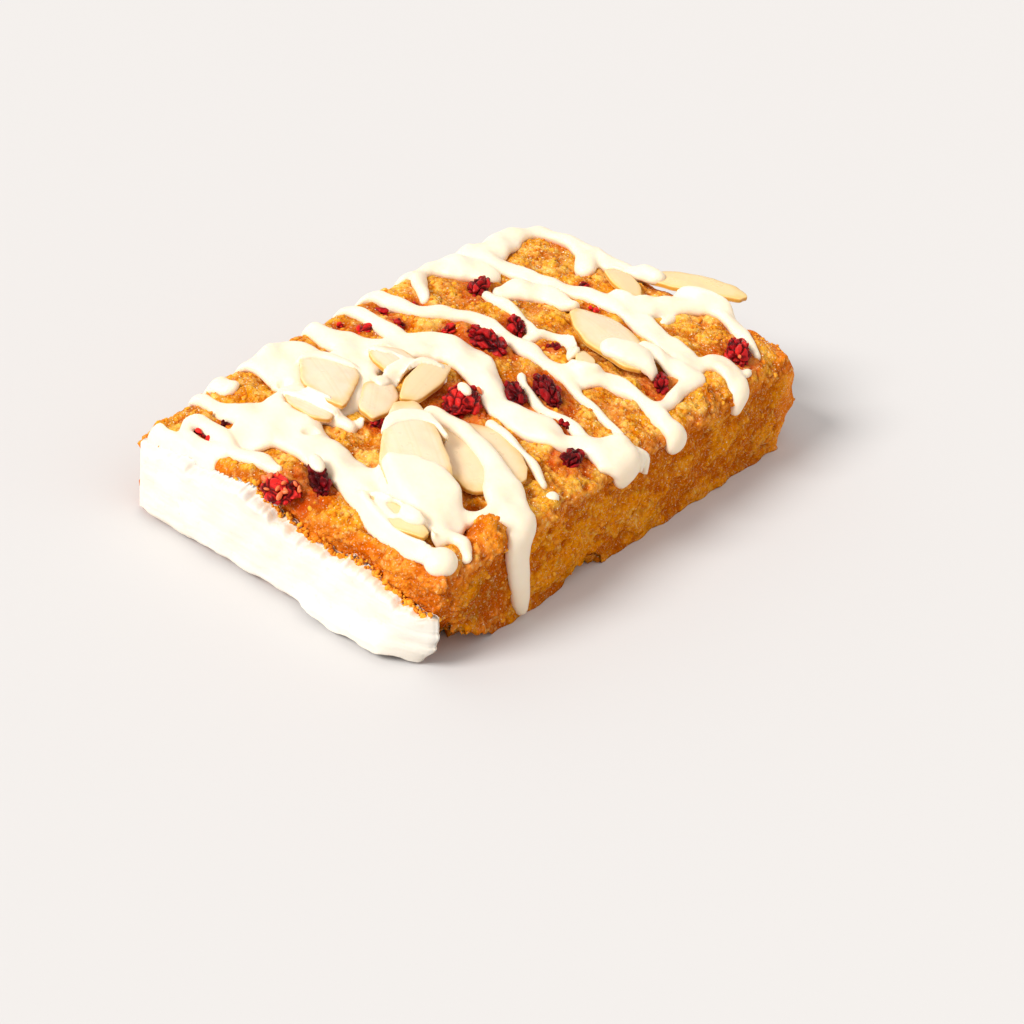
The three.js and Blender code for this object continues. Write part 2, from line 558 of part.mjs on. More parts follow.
// how far the flakes lift what lies over them at (x, y)
function almondLift(x, y) {
  let lift = 0;
  for (const almond of almonds.filter(({ under }) => under)) {
    const { z, rim } = almondSurface(almond, x, y);
    const over = z + flake.thick / 2 - craggyHeight(x, y);
    lift = Math.max(lift, over * smooth((1 + flake.lifting - rim) / flake.lifting));
  }
  return lift;
}

// the place on the surface at x, a distance s along it, and which way it faces
function surfaceAt(x, s) {
  const bendStart = slab.front + edgeBend;
  if (s > bendStart) {
    const z = craggyHeight(x, s) + almondLift(x, s) - rimFall(x, s);
    return { y: s, z, up: new THREE.Vector3(0, 0, 1) };
  }
  const height = craggyHeight(x, bendStart) - rimFall(x, bendStart);
  const angle = Math.min((bendStart - s) / edgeBend, Math.PI / 2);
  const below = Math.max(0, bendStart - s - edgeBend * Math.PI / 2);
  const y = bendStart - edgeBend * Math.sin(angle);
  const z = height - edgeBend * (1 - Math.cos(angle)) - below;
  return { y, z, up: new THREE.Vector3(0, -Math.sin(angle), Math.cos(angle)) };
}

// a strand of drizzle: a low half round carried along its path, its ends rounded off
function strandGeometry(path) {
  const curve = new THREE.CatmullRomCurve3(path.map((point) => new THREE.Vector3(...point)));
  const first = path[0];
  const last = path[path.length - 1];
  const steps = Math.max(2, Math.round(curve.getLength() / strand.step));
  const samples = curve.getSpacedPoints(steps);
  const startWay = samples[0].clone().sub(samples[1]).setZ(0).normalize();
  const endWay = samples[steps].clone().sub(samples[steps - 1]).setZ(0).normalize();
  const { length, width } = strandTip;
  const start = samples[0].clone().addScaledVector(startWay, length * first[2]).setZ(width * first[2]);
  const end = samples[steps].clone().addScaledVector(endWay, length * last[2]).setZ(width * last[2]);
  const rings = [start, ...samples, end];
  const section = [0, 45, 90, 135, 180].map(radians);
  const per = section.length + 2;
  const positions = [];
  rings.forEach((sample, k) => {
    const before = rings[Math.max(0, k - 1)];
    const after = rings[Math.min(rings.length - 1, k + 1)];
    const here = surfaceAt(sample.x, sample.y);
    const a = surfaceAt(before.x, before.y);
    const b = surfaceAt(after.x, after.y);
    const along = new THREE.Vector3(after.x - before.x, b.y - a.y, b.z - a.z);
    const across = along.cross(here.up).normalize();
    const foot = new THREE.Vector3(sample.x, here.y, here.z);
    const half = sample.z / 2;
    const height = strand.full * (1 - Math.exp(-sample.z / strand.spread));
    const place = (side, up) => positions.push(...foot.clone()
      .addScaledVector(across, side).addScaledVector(here.up, up));
    for (const angle of section) place(half * Math.cos(angle), height * Math.sin(angle));
    place(-strand.rootShare * half, -strand.root);
    place(strand.rootShare * half, -strand.root);
  });
  const faces = [];
  for (let k = 0; k + 1 < rings.length; k++) {
    for (let j = 0; j < per; j++) {
      const a = k * per + j;
      const b = k * per + (j + 1) % per;
      faces.push(a, b, b + per, a, b + per, a + per);
    }
  }
  const lastRing = (rings.length - 1) * per;
  for (let j = 1; j + 1 < per; j++) faces.push(0, j + 1, j, lastRing, lastRing + j, lastRing + j + 1);
  return meshFrom(positions, faces);
}

// where the coat ends above at y: it covers the back half to the crust and sinks to the front
function coatTopAt(y) {
  const { sinksFrom, sinksOver, climbsFrom, climbsOver } = coatRise;
  const toFront = coatTop.middle + (coatTop.front - coatTop.middle) * smooth((sinksFrom - y) / sinksOver);
  const behind = crustHeight(slab.left + 1, y) - coatTop.under;
  const wavy = coatTop.ragged * Math.sin(coatTop.wave * y);
  return Math.min(behind, toFront + (behind - toFront) * smooth((y - climbsFrom) / climbsOver) + wavy);
}

function coatGeometry(grow) {
  const inner = slab.left - gap + grow;
  return gridSkin(coatGrid.rows, coatGrid.levels, (a, b, side) => {
    const top = coatTopAt(coat.front + a * (coat.back - coat.front)) + grow;
    const z = coat.bottom - grow + b * (top - coat.bottom + grow);
    const cut = coatEnd.cut * smooth(1 - z / coatEnd.height) + coatEnd.ragged * Math.sin(1.9 * z);
    const frontEnd = coat.front - grow + cut;
    const y = frontEnd + a * (coat.back + grow - frontEnd);
    if (side === 1) return [inner, y, z];
    const toEnd = coatRim.thin + coatRim.sides * Math.min(a, 1 - a);
    const toTop = coatRim.thin + coatRim.ends * Math.min(b, 1 - b);
    const round = Math.min(1, toEnd, toTop);
    const foot = smooth(1 - z / coatFoot.height) * smooth((y - coatFoot.from) / coatFoot.fromLength)
      * smooth((coatFoot.to - y) / coatFoot.toLength);
    const swell = coat.thick + coat.bulge * Math.sin(Math.PI * a) + coat.rough * unevenness(0, y, z);
    return [inner - (swell + coatFoot.depth * foot) * round - 2 * grow, y, z];
  });
}

function material(colour, roughness) {
  return new THREE.MeshStandardMaterial({ color: colour, roughness, metalness: 0 });
}

const group = new THREE.Group();

function addPiece(name, geometry, look) {
  const placed = facingOut(geometry);
  placed.translate(-origin.x, -origin.y, 0);
  placed.computeVertexNormals();
  const mesh = new THREE.Mesh(placed, look);
  mesh.name = name;
  group.add(mesh);
}

// the largest piece alone: loose scraps and sealed hollows are dropped
function largestOf(solid) {
  const pieces = solid.decompose();
  return pieces.reduce((best, piece) => (piece.volume() > best.volume() ? piece : best));
}

// the slab with its drizzle, hollowed where the toppings and the coat lie
function blondieGeometry() {
  let solid = toManifold(slabGeometry());
  const notch = lumpGeometry(edgeNotch.at, edgeNotch.half, edgeNotch.detail, edgeNotch.turn);
  for (const missing of [cornerBiteGeometry(), notch]) solid = solid.subtract(toManifold(missing));
  for (const [x, y, halfX, halfY] of [...crumbs, ...drops]) {
    const at = [x, y, craggyHeight(x, y) - rimFall(x, y)];
    solid = solid.add(toManifold(lumpGeometry(at, [halfX, halfY, crumbHeight], 0)));
  }
  for (const path of drizzle) solid = solid.add(toManifold(strandGeometry(path)));
  solid = solid.asOriginal().simplify(flattening.whole);
  for (const almond of almonds) solid = solid.subtract(toManifold(almondGeometry(almond, gap)));
  for (const berry of berries) solid = solid.subtract(toManifold(berryGeometry(berry, gap)));
  solid = solid.subtract(toManifold(coatGeometry(coatGap)));
  return toGeometry(largestOf(solid.asOriginal().simplify(flattening.hollowed)));
}

addPiece('blondie', blondieGeometry(), material(colours.crust, 0.75));
addPiece('white_coat', coatGeometry(0), material(colours.chocolate, 0.45));
almonds.forEach((almond, k) => {
  addPiece(`almond_flake_${k + 1}`, almondGeometry(almond, 0), material(colours.almond, 0.5));
});
berries.forEach((berry, k) => {
  addPiece(`raspberry_piece_${k + 1}`, berryGeometry(berry, 0), material(colours.berry, 0.5));
});

export default group;
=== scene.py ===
import math
from itertools import combinations, product

import bpy
import numpy as np
from mathutils import Matrix, Vector


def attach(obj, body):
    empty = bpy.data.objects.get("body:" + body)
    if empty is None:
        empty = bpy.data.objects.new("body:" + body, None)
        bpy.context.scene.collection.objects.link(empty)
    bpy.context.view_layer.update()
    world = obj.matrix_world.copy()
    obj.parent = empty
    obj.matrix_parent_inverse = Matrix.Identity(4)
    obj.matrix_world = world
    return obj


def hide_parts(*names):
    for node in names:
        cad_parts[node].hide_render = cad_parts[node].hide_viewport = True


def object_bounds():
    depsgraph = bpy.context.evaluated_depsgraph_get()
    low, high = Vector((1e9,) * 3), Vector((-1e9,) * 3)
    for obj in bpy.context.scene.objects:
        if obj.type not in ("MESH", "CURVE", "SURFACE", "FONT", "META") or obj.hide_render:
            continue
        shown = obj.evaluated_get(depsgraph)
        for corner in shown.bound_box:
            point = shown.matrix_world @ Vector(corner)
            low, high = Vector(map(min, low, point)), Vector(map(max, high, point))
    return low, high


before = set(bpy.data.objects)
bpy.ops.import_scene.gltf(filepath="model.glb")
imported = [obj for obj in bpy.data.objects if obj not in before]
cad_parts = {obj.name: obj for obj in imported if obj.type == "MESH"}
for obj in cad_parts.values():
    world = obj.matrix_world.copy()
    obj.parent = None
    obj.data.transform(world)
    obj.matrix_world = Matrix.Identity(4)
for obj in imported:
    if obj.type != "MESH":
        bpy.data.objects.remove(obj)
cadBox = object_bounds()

# A blondie bar: golden crumb with white chocolate drizzle, flaked almonds and raspberry
# pieces on its crust, and a coat of white chocolate on one short side.
# Shapes are worked out in plan millimetres: +X towards the baked end, -Y the cut side.
# putMesh turns them into metres and moves the plan onto the frame's origin.

print("frame loaded, nodes:", len(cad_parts))

mm = 0.001
planShift = np.array([1.4, 0.5, 0.0])


# noise and small helpers

def smooth(value):
    # 0 below 0, 1 above 1, and an S between them
    t = np.clip(value, 0, 1)
    return t * t * (3 - 2 * t)


def blend(a, b, share):
    # a where the share is 0, b where it is 1
    return a + (b - a) * share


def turned(x, y, degrees):
    # (x, y) turned anticlockwise about the origin
    along, across = math.cos(math.radians(degrees)), math.sin(math.radians(degrees))
    return x * along - y * across, x * across + y * along


def placesOf(x, y, z):
    # points from three coordinates, each a number or an array
    return np.stack(np.broadcast_arrays(x, y, z), axis=-1)


# large odd numbers that scatter neighbouring cells
hashSteps = dict(x=73856093, y=19349663, z=83492791, seed=668265263, first=2246822519, second=3266489917)


def latticeHash(cell, seed):
    # a number between 0 and 1 for each whole-numbered cell, mixed from its three numbers
    whole = cell.astype(np.int64).astype(np.uint32)
    mix = whole[..., 0] * np.uint32(hashSteps["x"]) ^ whole[..., 1] * np.uint32(hashSteps["y"])
    mix ^= whole[..., 2] * np.uint32(hashSteps["z"])
    mix ^= np.uint32((seed * hashSteps["seed"]) % 2 ** 32)
    mix ^= mix >> np.uint32(15)
    mix *= np.uint32(hashSteps["first"])
    mix ^= mix >> np.uint32(13)
    mix *= np.uint32(hashSteps["second"])
    mix ^= mix >> np.uint32(16)
    return mix / 2.0 ** 32


def valueNoise(points, size, seed):
    # values from -1 to 1 at the corners of cubes of that size, blended smoothly between them
    place = points / size
    base = np.floor(place)
    t = place - base
    t = t * t * t * (t * (t * 6 - 15) + 10)
    total = 0
    for corner in product((0, 1), repeat=3):
        weight = np.prod(np.where(np.array(corner) == 1, t, 1 - t), axis=-1)
        total = total + weight * latticeHash(base + corner, seed)
    return 2 * total - 1


def roughNoise(points, size, seed, octaves=3, gain=0.5):
    # value noise with finer and weaker layers added to it
    total, share, most = 0, 1.0, 0.0
    for layer in range(octaves):
        total = total + share * valueNoise(points, size=size / 2 ** layer, seed=seed + layer)
        most += share
        share *= gain
    return total / most


def cellNoise(points, size, seed):
    # the distances to the nearest and second nearest of points strewn one per cube, in
    # cubes, and a number of the nearest one's own
    place = points / size
    base = np.floor(place)
    nearest = np.full(len(points), 9.0)
    second = np.full(len(points), 9.0)
    tag = np.zeros(len(points))
    for step in product((-1, 0, 1), repeat=3):
        cell = base + step
        seat = cell + np.stack([latticeHash(cell, seed + k) for k in range(3)], axis=-1)
        distance = np.linalg.norm(seat - place, axis=-1)
        closer = distance < nearest
        second = np.where(closer, nearest, np.minimum(second, distance))
        tag = np.where(closer, latticeHash(cell, seed + 7), tag)
        nearest = np.where(closer, distance, nearest)
    return nearest, second, tag


def pointNormals(points, faces):
    # each point's normal is the sum of its faces' area normals
    total = np.zeros_like(points)
    for face in faces:
        corners = points[face]
        if face.shape[1] == 4:
            normal = np.cross(corners[:, 2] - corners[:, 0], corners[:, 3] - corners[:, 1])
        else:
            normal = np.cross(corners[:, 1] - corners[:, 0], corners[:, 2] - corners[:, 0])
        for k in range(face.shape[1]):
            for axis in range(3):
                total[:, axis] += np.bincount(face[:, k], normal[:, axis], len(points))
    length = np.linalg.norm(total, axis=1, keepdims=True)
    return total / np.maximum(length, 1e-12)


def gridFaces(rows, columns, closed=False):
    # quads between neighbouring rows and columns of points numbered row by row
    row = np.arange(rows - 1)[:, None]
    column = np.arange(columns if closed else columns - 1)[None, :]
    following = (column + 1) % columns
    a, b = row * columns + column, row * columns + following
    c, d = (row + 1) * columns + following, (row + 1) * columns + column
    return np.stack([a, b, c, d], axis=-1).reshape(-1, 4)


boxLow = np.array(cadBox[0])
boxHigh = np.array(cadBox[1])


def putMesh(name, points, faces, material, values=None):
    # a new piece from points in plan millimetres, kept within the frame's box
    places = np.clip((points - planShift) * mm, boxLow, boxHigh)
    loops = np.concatenate([face.ravel() for face in faces])
    sizes = np.concatenate([np.full(len(face), face.shape[1]) for face in faces])
    starts = np.concatenate([[0], np.cumsum(sizes)[:-1]])
    mesh = bpy.data.meshes.new(name)
    mesh.vertices.add(len(places))
    mesh.vertices.foreach_set("co", places.astype(np.float32).ravel())
    mesh.loops.add(len(loops))
    mesh.loops.foreach_set("vertex_index", loops.astype(np.int32))
    mesh.polygons.add(len(sizes))
    mesh.polygons.foreach_set("loop_start", starts.astype(np.int32))
    mesh.polygons.foreach_set("use_smooth", np.ones(len(sizes), dtype=bool))
    mesh.update(calc_edges=True)
    mesh.validate()
    for key, value in (values or {}).items():
        layer = mesh.attributes.new(key, "FLOAT", "POINT")
        layer.data.foreach_set("value", np.asarray(value, dtype=np.float32))
    mesh.materials.append(material)
    piece = bpy.data.objects.new(name, mesh)
    bpy.context.scene.collection.objects.link(piece)
    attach(piece, "root")
    return piece


def ball(detail):
    # a unit ball of triangles: the twelve corners of an icosahedron are joined where they lie
    # near each other, and each face is split in four, detail times
    golden = (1 + math.sqrt(5)) / 2
    signs = [(a, b * golden) for a in (-1, 1) for b in (-1, 1)]
    corners = [(0, a, b) for a, b in signs] + [(a, b, 0) for a, b in signs]
    corners += [(b, 0, a) for a, b in signs]
    points = np.array(corners) / math.hypot(1, golden)
    apart = np.linalg.norm(points[:, None] - points[None], axis=-1)
    near = (apart > 0) & (apart < 1.1)
    faces = np.array([(a, b, c) for a, b, c in combinations(range(len(points)), 3)
                      if near[a, b] and near[b, c] and near[a, c]])
    middle = points[faces].sum(axis=1)
    sides = np.cross(points[faces[:, 1]] - points[faces[:, 0]], points[faces[:, 2]] - points[faces[:, 0]])
    inward = (sides * middle).sum(axis=1) < 0
    faces[inward] = faces[inward][:, ::-1]
    for _ in range(detail):
        edges = np.sort(np.concatenate([faces[:, [0, 1]], faces[:, [1, 2]], faces[:, [2, 0]]]), axis=1)
        pairs, which = np.unique(edges, axis=0, return_inverse=True)
        ab, bc, ca = which.reshape(3, -1) + len(points)
        added = points[pairs].sum(axis=1)
        points = np.concatenate([points, added / np.linalg.norm(added, axis=1, keepdims=True)])
        a, b, c = faces.T
        split = [(a, ab, ca), (b, bc, ab), (c, ca, bc), (ab, bc, ca)]
        faces = np.concatenate([np.stack(corner, axis=1) for corner in split])
    return points, faces


# the bar's own form

bar = dict(
    left=-42.5, right=48.5, front=-27.4, back=28.4,
    cornerRadius=dict(frontLeft=1.8, backLeft=2.4, frontRight=6, backRight=8),
    frontHeight=14.95, frontRise=2.0, backHeight=12.3, backRise=6.1, backHaste=3, crown=0.8,
    heightFrom=-27, heightSpan=54, heightShort=4,
    cragTop=0.42, cragSide=0.38, swell=0.34, swellSize=5.2,
    roundDrop=0.9, roundReach=2.2, roundInset=0.6, roundHeight=1.7,
    endFrom=14, endLength=26, endDrop=1, endReach=2.2, endUntil=4, endFade=12,
    cornerFrom=-36, cornerLength=4, cornerBehind=6, cornerDrop=0.8, cornerReach=2,
    rimLeft=-41.9, rimRight=44.5, rimFront=-26.8, rimBack=26.6, rimInside=2,
    pastSlope=1.6, pastCurve=0.4,
    bakedUnder=(6.5, 8), bakedOver=(3.4, 9), backUnder=(2.2, 6), backOver=(1.2, 8),
)
lumps = [  # centre, reach and rise of the crust's broad lumps
    (-30.2, -24.6, 2.8, 2), (44.4, -18.4, 2.8, 1.5), (-36.6, 22.4, 3.4, 1.1),
    (-28, 21.8, 3.2, 1), (10, 21.5, 4.4, 0.7), (35.5, 16, 4, 0.8),
]
barMiddle = ((bar["right"] + bar["left"]) / 2, (bar["back"] + bar["front"]) / 2)
bite = dict(start=-43.5, length=13.6, height=7.4, depth=6.4, shallow=4.6, soft=0.9, ragged=0.5)
notch = dict(x=-9.6, y=-27.8, halfX=4.3, halfY=2.4, height=2.4)


def unevenness(x, y, z):
    # the mean of three crossed waves, between -1 and 1
    a = np.sin(0.83 * x + 0.61 * y + 0.35 * z + 0.4)
    b = np.sin(-0.57 * x + 1.04 * y + 0.71 * z + 2.1)
    c = np.sin(1.21 * x - 0.43 * y + 0.93 * z + 4.0)
    return (a + b + c) / 3


def crustHeight(x, y):
    # a line along the front and a bent line along the back, joined across with a low crown
    u = np.clip((x - bar["left"]) / (bar["right"] - bar["heightShort"] - bar["left"]), 0, 1)
    v = np.clip((y - bar["heightFrom"]) / bar["heightSpan"], 0, 1)
    front = bar["frontHeight"] + bar["frontRise"] * u
    back = bar["backHeight"] + bar["backRise"] * (1 - (1 - u) ** bar["backHaste"])
    return front * (1 - v) + back * v + bar["crown"] * 4 * v * (1 - v)


def cornerRadiusAt(x, y):
    radius = bar["cornerRadius"]
    right = np.where(y > 0, radius["backRight"], radius["frontRight"])
    left = np.where(y > 0, radius["backLeft"], radius["frontLeft"])
    return np.where(x > 0, right, left)


def insideRim(x, y):
    # the distance inside a rounded rectangle, negative outside it
    dx = np.minimum(x - bar["rimLeft"], bar["rimRight"] - x)
    dy = np.minimum(y - bar["rimFront"], bar["rimBack"] - y)
    radius = cornerRadiusAt(x, y)
    cornered = radius - np.hypot(radius - dx, radius - dy)
    return np.where((dx >= radius) | (dy >= radius), np.minimum(dx, dy), cornered)


def roundingAt(x, y):
    # how far the rim is let down and how far in this reaches; more at the baked end and the
    # coated corner
    end = smooth((x - bar["endFrom"]) / bar["endLength"])
    end = end * smooth(1 - (y - bar["endUntil"]) / bar["endFade"])
    corner = smooth((bar["cornerFrom"] - x) / bar["cornerLength"]) * smooth(-y / bar["cornerBehind"])
    drop = bar["roundDrop"] + bar["endDrop"] * end + bar["cornerDrop"] * corner
    reach = bar["roundReach"] + bar["endReach"] * end + bar["cornerReach"] * corner
    return drop, reach


def rimFall(x, y):
    # a parabola down to the rim, and a slope that goes on past it
    inside = insideRim(x, y)
    drop, reach = roundingAt(x, y)
    within = drop * np.maximum(0, 1 - inside / reach) ** 2
    past = drop - bar["pastSlope"] * inside + bar["pastCurve"] * inside ** 2
    return np.where(inside >= 0, within, past)


def craggyHeight(x, y):
    # the crust with its unevenness and its broad lumps
    height = crustHeight(x, y) + bar["cragTop"] * unevenness(x, y, 0)
    for lumpX, lumpY, reach, rise in lumps:
        r = np.hypot(x - lumpX, y - lumpY) / reach
        height = height + rise * np.maximum(0, 1 - r * r) ** 2
    return height


def outlinePoint(u, v):
    # the point of the rounded outline for a point (u, v) on the rim of the unit square
    halfX, halfY = (bar["right"] - bar["left"]) / 2, (bar["back"] - bar["front"]) / 2
    middleX, middleY = barMiddle
    radius = cornerRadiusAt(u, v)
    px, py = halfX * u, halfY * v
    qx, qy = np.clip(px, radius - halfX, halfX - radius), np.clip(py, radius - halfY, halfY - radius)
    length = np.hypot(px - qx, py - qy)
    nx, ny = (px - qx) / length, (py - qy) / length
    return middleX + qx + radius * nx, middleY + qy + radius * ny, nx, ny


def drawnIn(z, height, under, over):
    # cubed below under's height and squared above over's, as a baked side bulges
    low = under[0] * np.maximum(0, 1 - z / under[1]) ** 3
    high = over[0] * np.maximum(0, (z - over[1]) / (height - over[1])) ** 2
    return low + high


def sidePoint(u, v, z, top):
    # the side's place at height z below the rim point (u, v), rounded off towards the top
    x, y, nx, ny = outlinePoint(u, v)
    right = np.maximum(nx, 0) * drawnIn(z, top, bar["bakedUnder"], bar["bakedOver"])
    back = np.maximum(ny, 0) * drawnIn(z, top, bar["backUnder"], bar["backOver"])
    rounding = bar["roundInset"] * np.clip(1 - (top - z) / bar["roundHeight"], 0, 1) ** 2
    rough = np.where(nx < -0.6, 0, bar["cragSide"] * unevenness(x, y, 1.3 * z + 5))
    inset = right + back + rounding - rough
    return x - nx * inset, y - ny * inset


def rimHeight(u, v):
    # the crust's height a little inside the outline, let down by the rim's rounding
    x, y, nx, ny = outlinePoint(u, v)
    x, y = x - bar["rimInside"] * nx, y - bar["rimInside"] * ny
    return crustHeight(x, y) - roundingAt(x, y)[0]


# flaked almonds

flake = dict(thick=0.95, rimThick=0.75, taper=0.2, cup=0.4, lifting=0.35, rings=12, around=180,
             rimRows=6, lip=0.018, wander=0.05, wave=0.16, cornerCut=0.12, cornerRounds=2,
             innermost=0.02)
almonds = [  # half sizes, lift over the crust, slopes, bend and how square each flake is; those that are
    # under the drizzle lift it; the corners of the outline and how golden the flake is
    dict(at=(-26, -9), half=(11, 4.6), turn=54, lift=2.7, slope=(0.13, -0.05), bend=0.6,
         square=2.4, under=True, gold=0.25,
         outline=[(-19.6, 1.2), (-17.4, -1.2), (-20.4, -7.4), (-24.9, -13.8), (-29.8, -18.8),
                  (-33.2, -19.8), (-34.8, -17.2), (-35, -11.4), (-31.4, -6.2), (-25.2, -1.8)]),
    dict(at=(-18.3, -13.1), half=(9, 5.1), turn=61, lift=0.6, slope=(0, -0.03), bend=0.5,
         square=2.5, under=True, gold=0.6,
         outline=[(-17.4, -5.2), (-13.6, -4.6), (-10.8, -9.8), (-12.9, -15.9), (-15.6, -20),
                  (-18.6, -22), (-22.8, -21.2), (-26.4, -18.2), (-25, -12.5), (-21, -7.6)]),
    dict(at=(-18.2, 5), half=(5.1, 2.4), turn=36, lift=1.2, slope=(0.05, 0.08), bend=0.3,
         square=2.2, under=False, gold=0.3,
         outline=[(-16.9, 8.9), (-13.4, 6.1), (-15.4, 3.2), (-19.8, 1.4), (-23, 1.8),
                  (-22.7, 4.9)]),
    dict(at=(-10.8, 3.1), half=(6.4, 2.7), turn=196, lift=1.7, slope=(-0.02, -0.16), bend=0.3,
         square=2.2, under=False, gold=0.7,
         outline=[(-6.4, 6.2), (-4.2, 3), (-8.8, 0.8), (-15.6, -0.1), (-17.6, 1.9),
                  (-13.4, 4.5)]),
    dict(at=(-38.2, -15.4), half=(6, 1.8), turn=84, lift=1.3, slope=(0.02, -0.25), bend=0.3,
         square=2, under=True, gold=0.9,
         outline=[(-37.5, -9.6), (-36.3, -11.4), (-36.3, -16.2), (-37.7, -20.9), (-39.1, -21.1),
                  (-40.1, -17.4), (-39.7, -12)]),
    dict(at=(20.3, -7.3), half=(9.5, 4.8), turn=70, lift=1.3, slope=(0.03, 0.04), bend=0.7,
         square=2.3, under=True, gold=0.4,
         outline=[(24.6, 1.9), (22.2, 1.9), (18.2, -1.8), (15.5, -6.4), (14.8, -13.8),
                  (16.2, -16.4), (19.2, -15.8), (23.6, -10.2), (25.8, -4.8)]),
    dict(at=(44.2, -7), half=(8.8, 3.5), turn=108, lift=1.5, slope=(-0.02, -0.06), bend=0.3,
         square=2, under=True, gold=1.0,
         outline=[(41.6, 1.2), (39.8, 0.4), (40.4, -4.2), (42.4, -9.6), (45, -14.6),
                  (46.9, -15.2), (48.2, -12), (47.4, -7), (45, -1.6)]),
    dict(at=(36.2, 1.4), half=(5.2, 2.9), turn=62, lift=0.9, slope=(0.04, 0.1), bend=0.3,
         square=2, under=True, gold=0.9,
         outline=[(38.6, 5.8), (36.6, 5.8), (34.2, 2.4), (33, -1.4), (34.6, -3.2), (37.4, -1.2),
                  (39.6, 2.4)]),
    dict(at=(11.8, -9.1), half=(3.2, 2.1), turn=40, lift=1, slope=(0.05, 0.1), bend=0.2,
         square=2, under=True, gold=0.8,
         outline=[(14.2, -7.2), (12.2, -6.8), (9.8, -8.8), (9.2, -10.8), (11, -11.4),
                  (13.4, -9.8)]),
    dict(at=(-19.6, 13.2), half=(7.3, 4.5), turn=62, lift=2, slope=(0, 0), bend=0.3,
         square=1.5, under=False, gold=0.15,
         outline=[(-19, 19.4), (-16, 19.2), (-14.4, 12.4), (-16.6, 9.6), (-24.4, 5.6),
                  (-25.2, 8.4), (-24.2, 14.2)]),
    dict(at=(-9.4, 10.4), half=(3.7, 2.8), turn=75, lift=1.5, slope=(0.02, 0.04), bend=0.3,
         square=2.4, under=False, gold=0.2,
         outline=[(-10.9, 13.4), (-8, 13.4), (-6.2, 10.7), (-6.8, 7), (-11, 6.4),
                  (-12.9, 7.8), (-12.3, 11.2)]),
    dict(at=(-26.4, 10.6), half=(4.4, 1.7), turn=92, lift=1.2, slope=(0, 0), bend=0.1,
         square=3, under=False, gold=0.2,
         outline=[(-26.6, 15), (-25.2, 14.4), (-25.4, 6.5), (-26.9, 6), (-28.5, 7.8),
                  (-28.1, 12.8)]),
]


def almondSurface(almond, x, y):
    # the flake's mid height at (x, y), bent down with the square of the way out, and how
    # far out that is, 1 at its outline
    alongFlake, acrossFlake = turned(x - almond["at"][0], y - almond["at"][1], -almond["turn"])
    p = alongFlake / almond["half"][0]
    q = acrossFlake / (almond["half"][1] * (1 - flake["taper"] * np.clip(p, -1.5, 1.5)))
    centre = crustHeight(*almond["at"]) + almond["lift"]
    slope = almond["slope"][0] * p * almond["half"][0] + almond["slope"][1] * q * almond["half"][1]
    power = almond["square"]
    out = (np.abs(p) ** power + np.abs(q) ** power) ** (1 / power)
    return centre + slope - almond["bend"] * (p * p + flake["cup"] * q * q), out


def almondLift(x, y, overAll=False):
    # drizzle that crosses a flake is carried over it and sags to the crust beside it
    lift = np.zeros_like(x)
    for almond in almonds:
        if almond["under"] or overAll:
            z, out = almondSurface(almond, x, y)
            over = z + flake["thick"] / 2 - craggyHeight(x, y)
            lift = np.maximum(lift, over * smooth((1 + flake["lifting"] - out) / flake["lifting"]))
    return lift


def roundedOutline(corners, around):
    # the corners' polygon with its corners cut off a few times over, as even steps round it
    line = np.array(corners, dtype=float)
    for _ in range(flake["cornerRounds"]):
        following = np.roll(line, -1, axis=0)
        cut = flake["cornerCut"]
        line = np.stack([blend(line, following, cut), blend(line, following, 1 - cut)], axis=1)
        line = line.reshape(-1, 2)
    closed = np.concatenate([line, line[:1]])
    along = np.concatenate([[0], np.cumsum(np.linalg.norm(np.diff(closed, axis=0), axis=1))])
    even = np.linspace(0, along[-1], around, endpoint=False)
    return np.stack([np.interp(even, along, closed[:, k]) for k in range(2)], axis=-1)


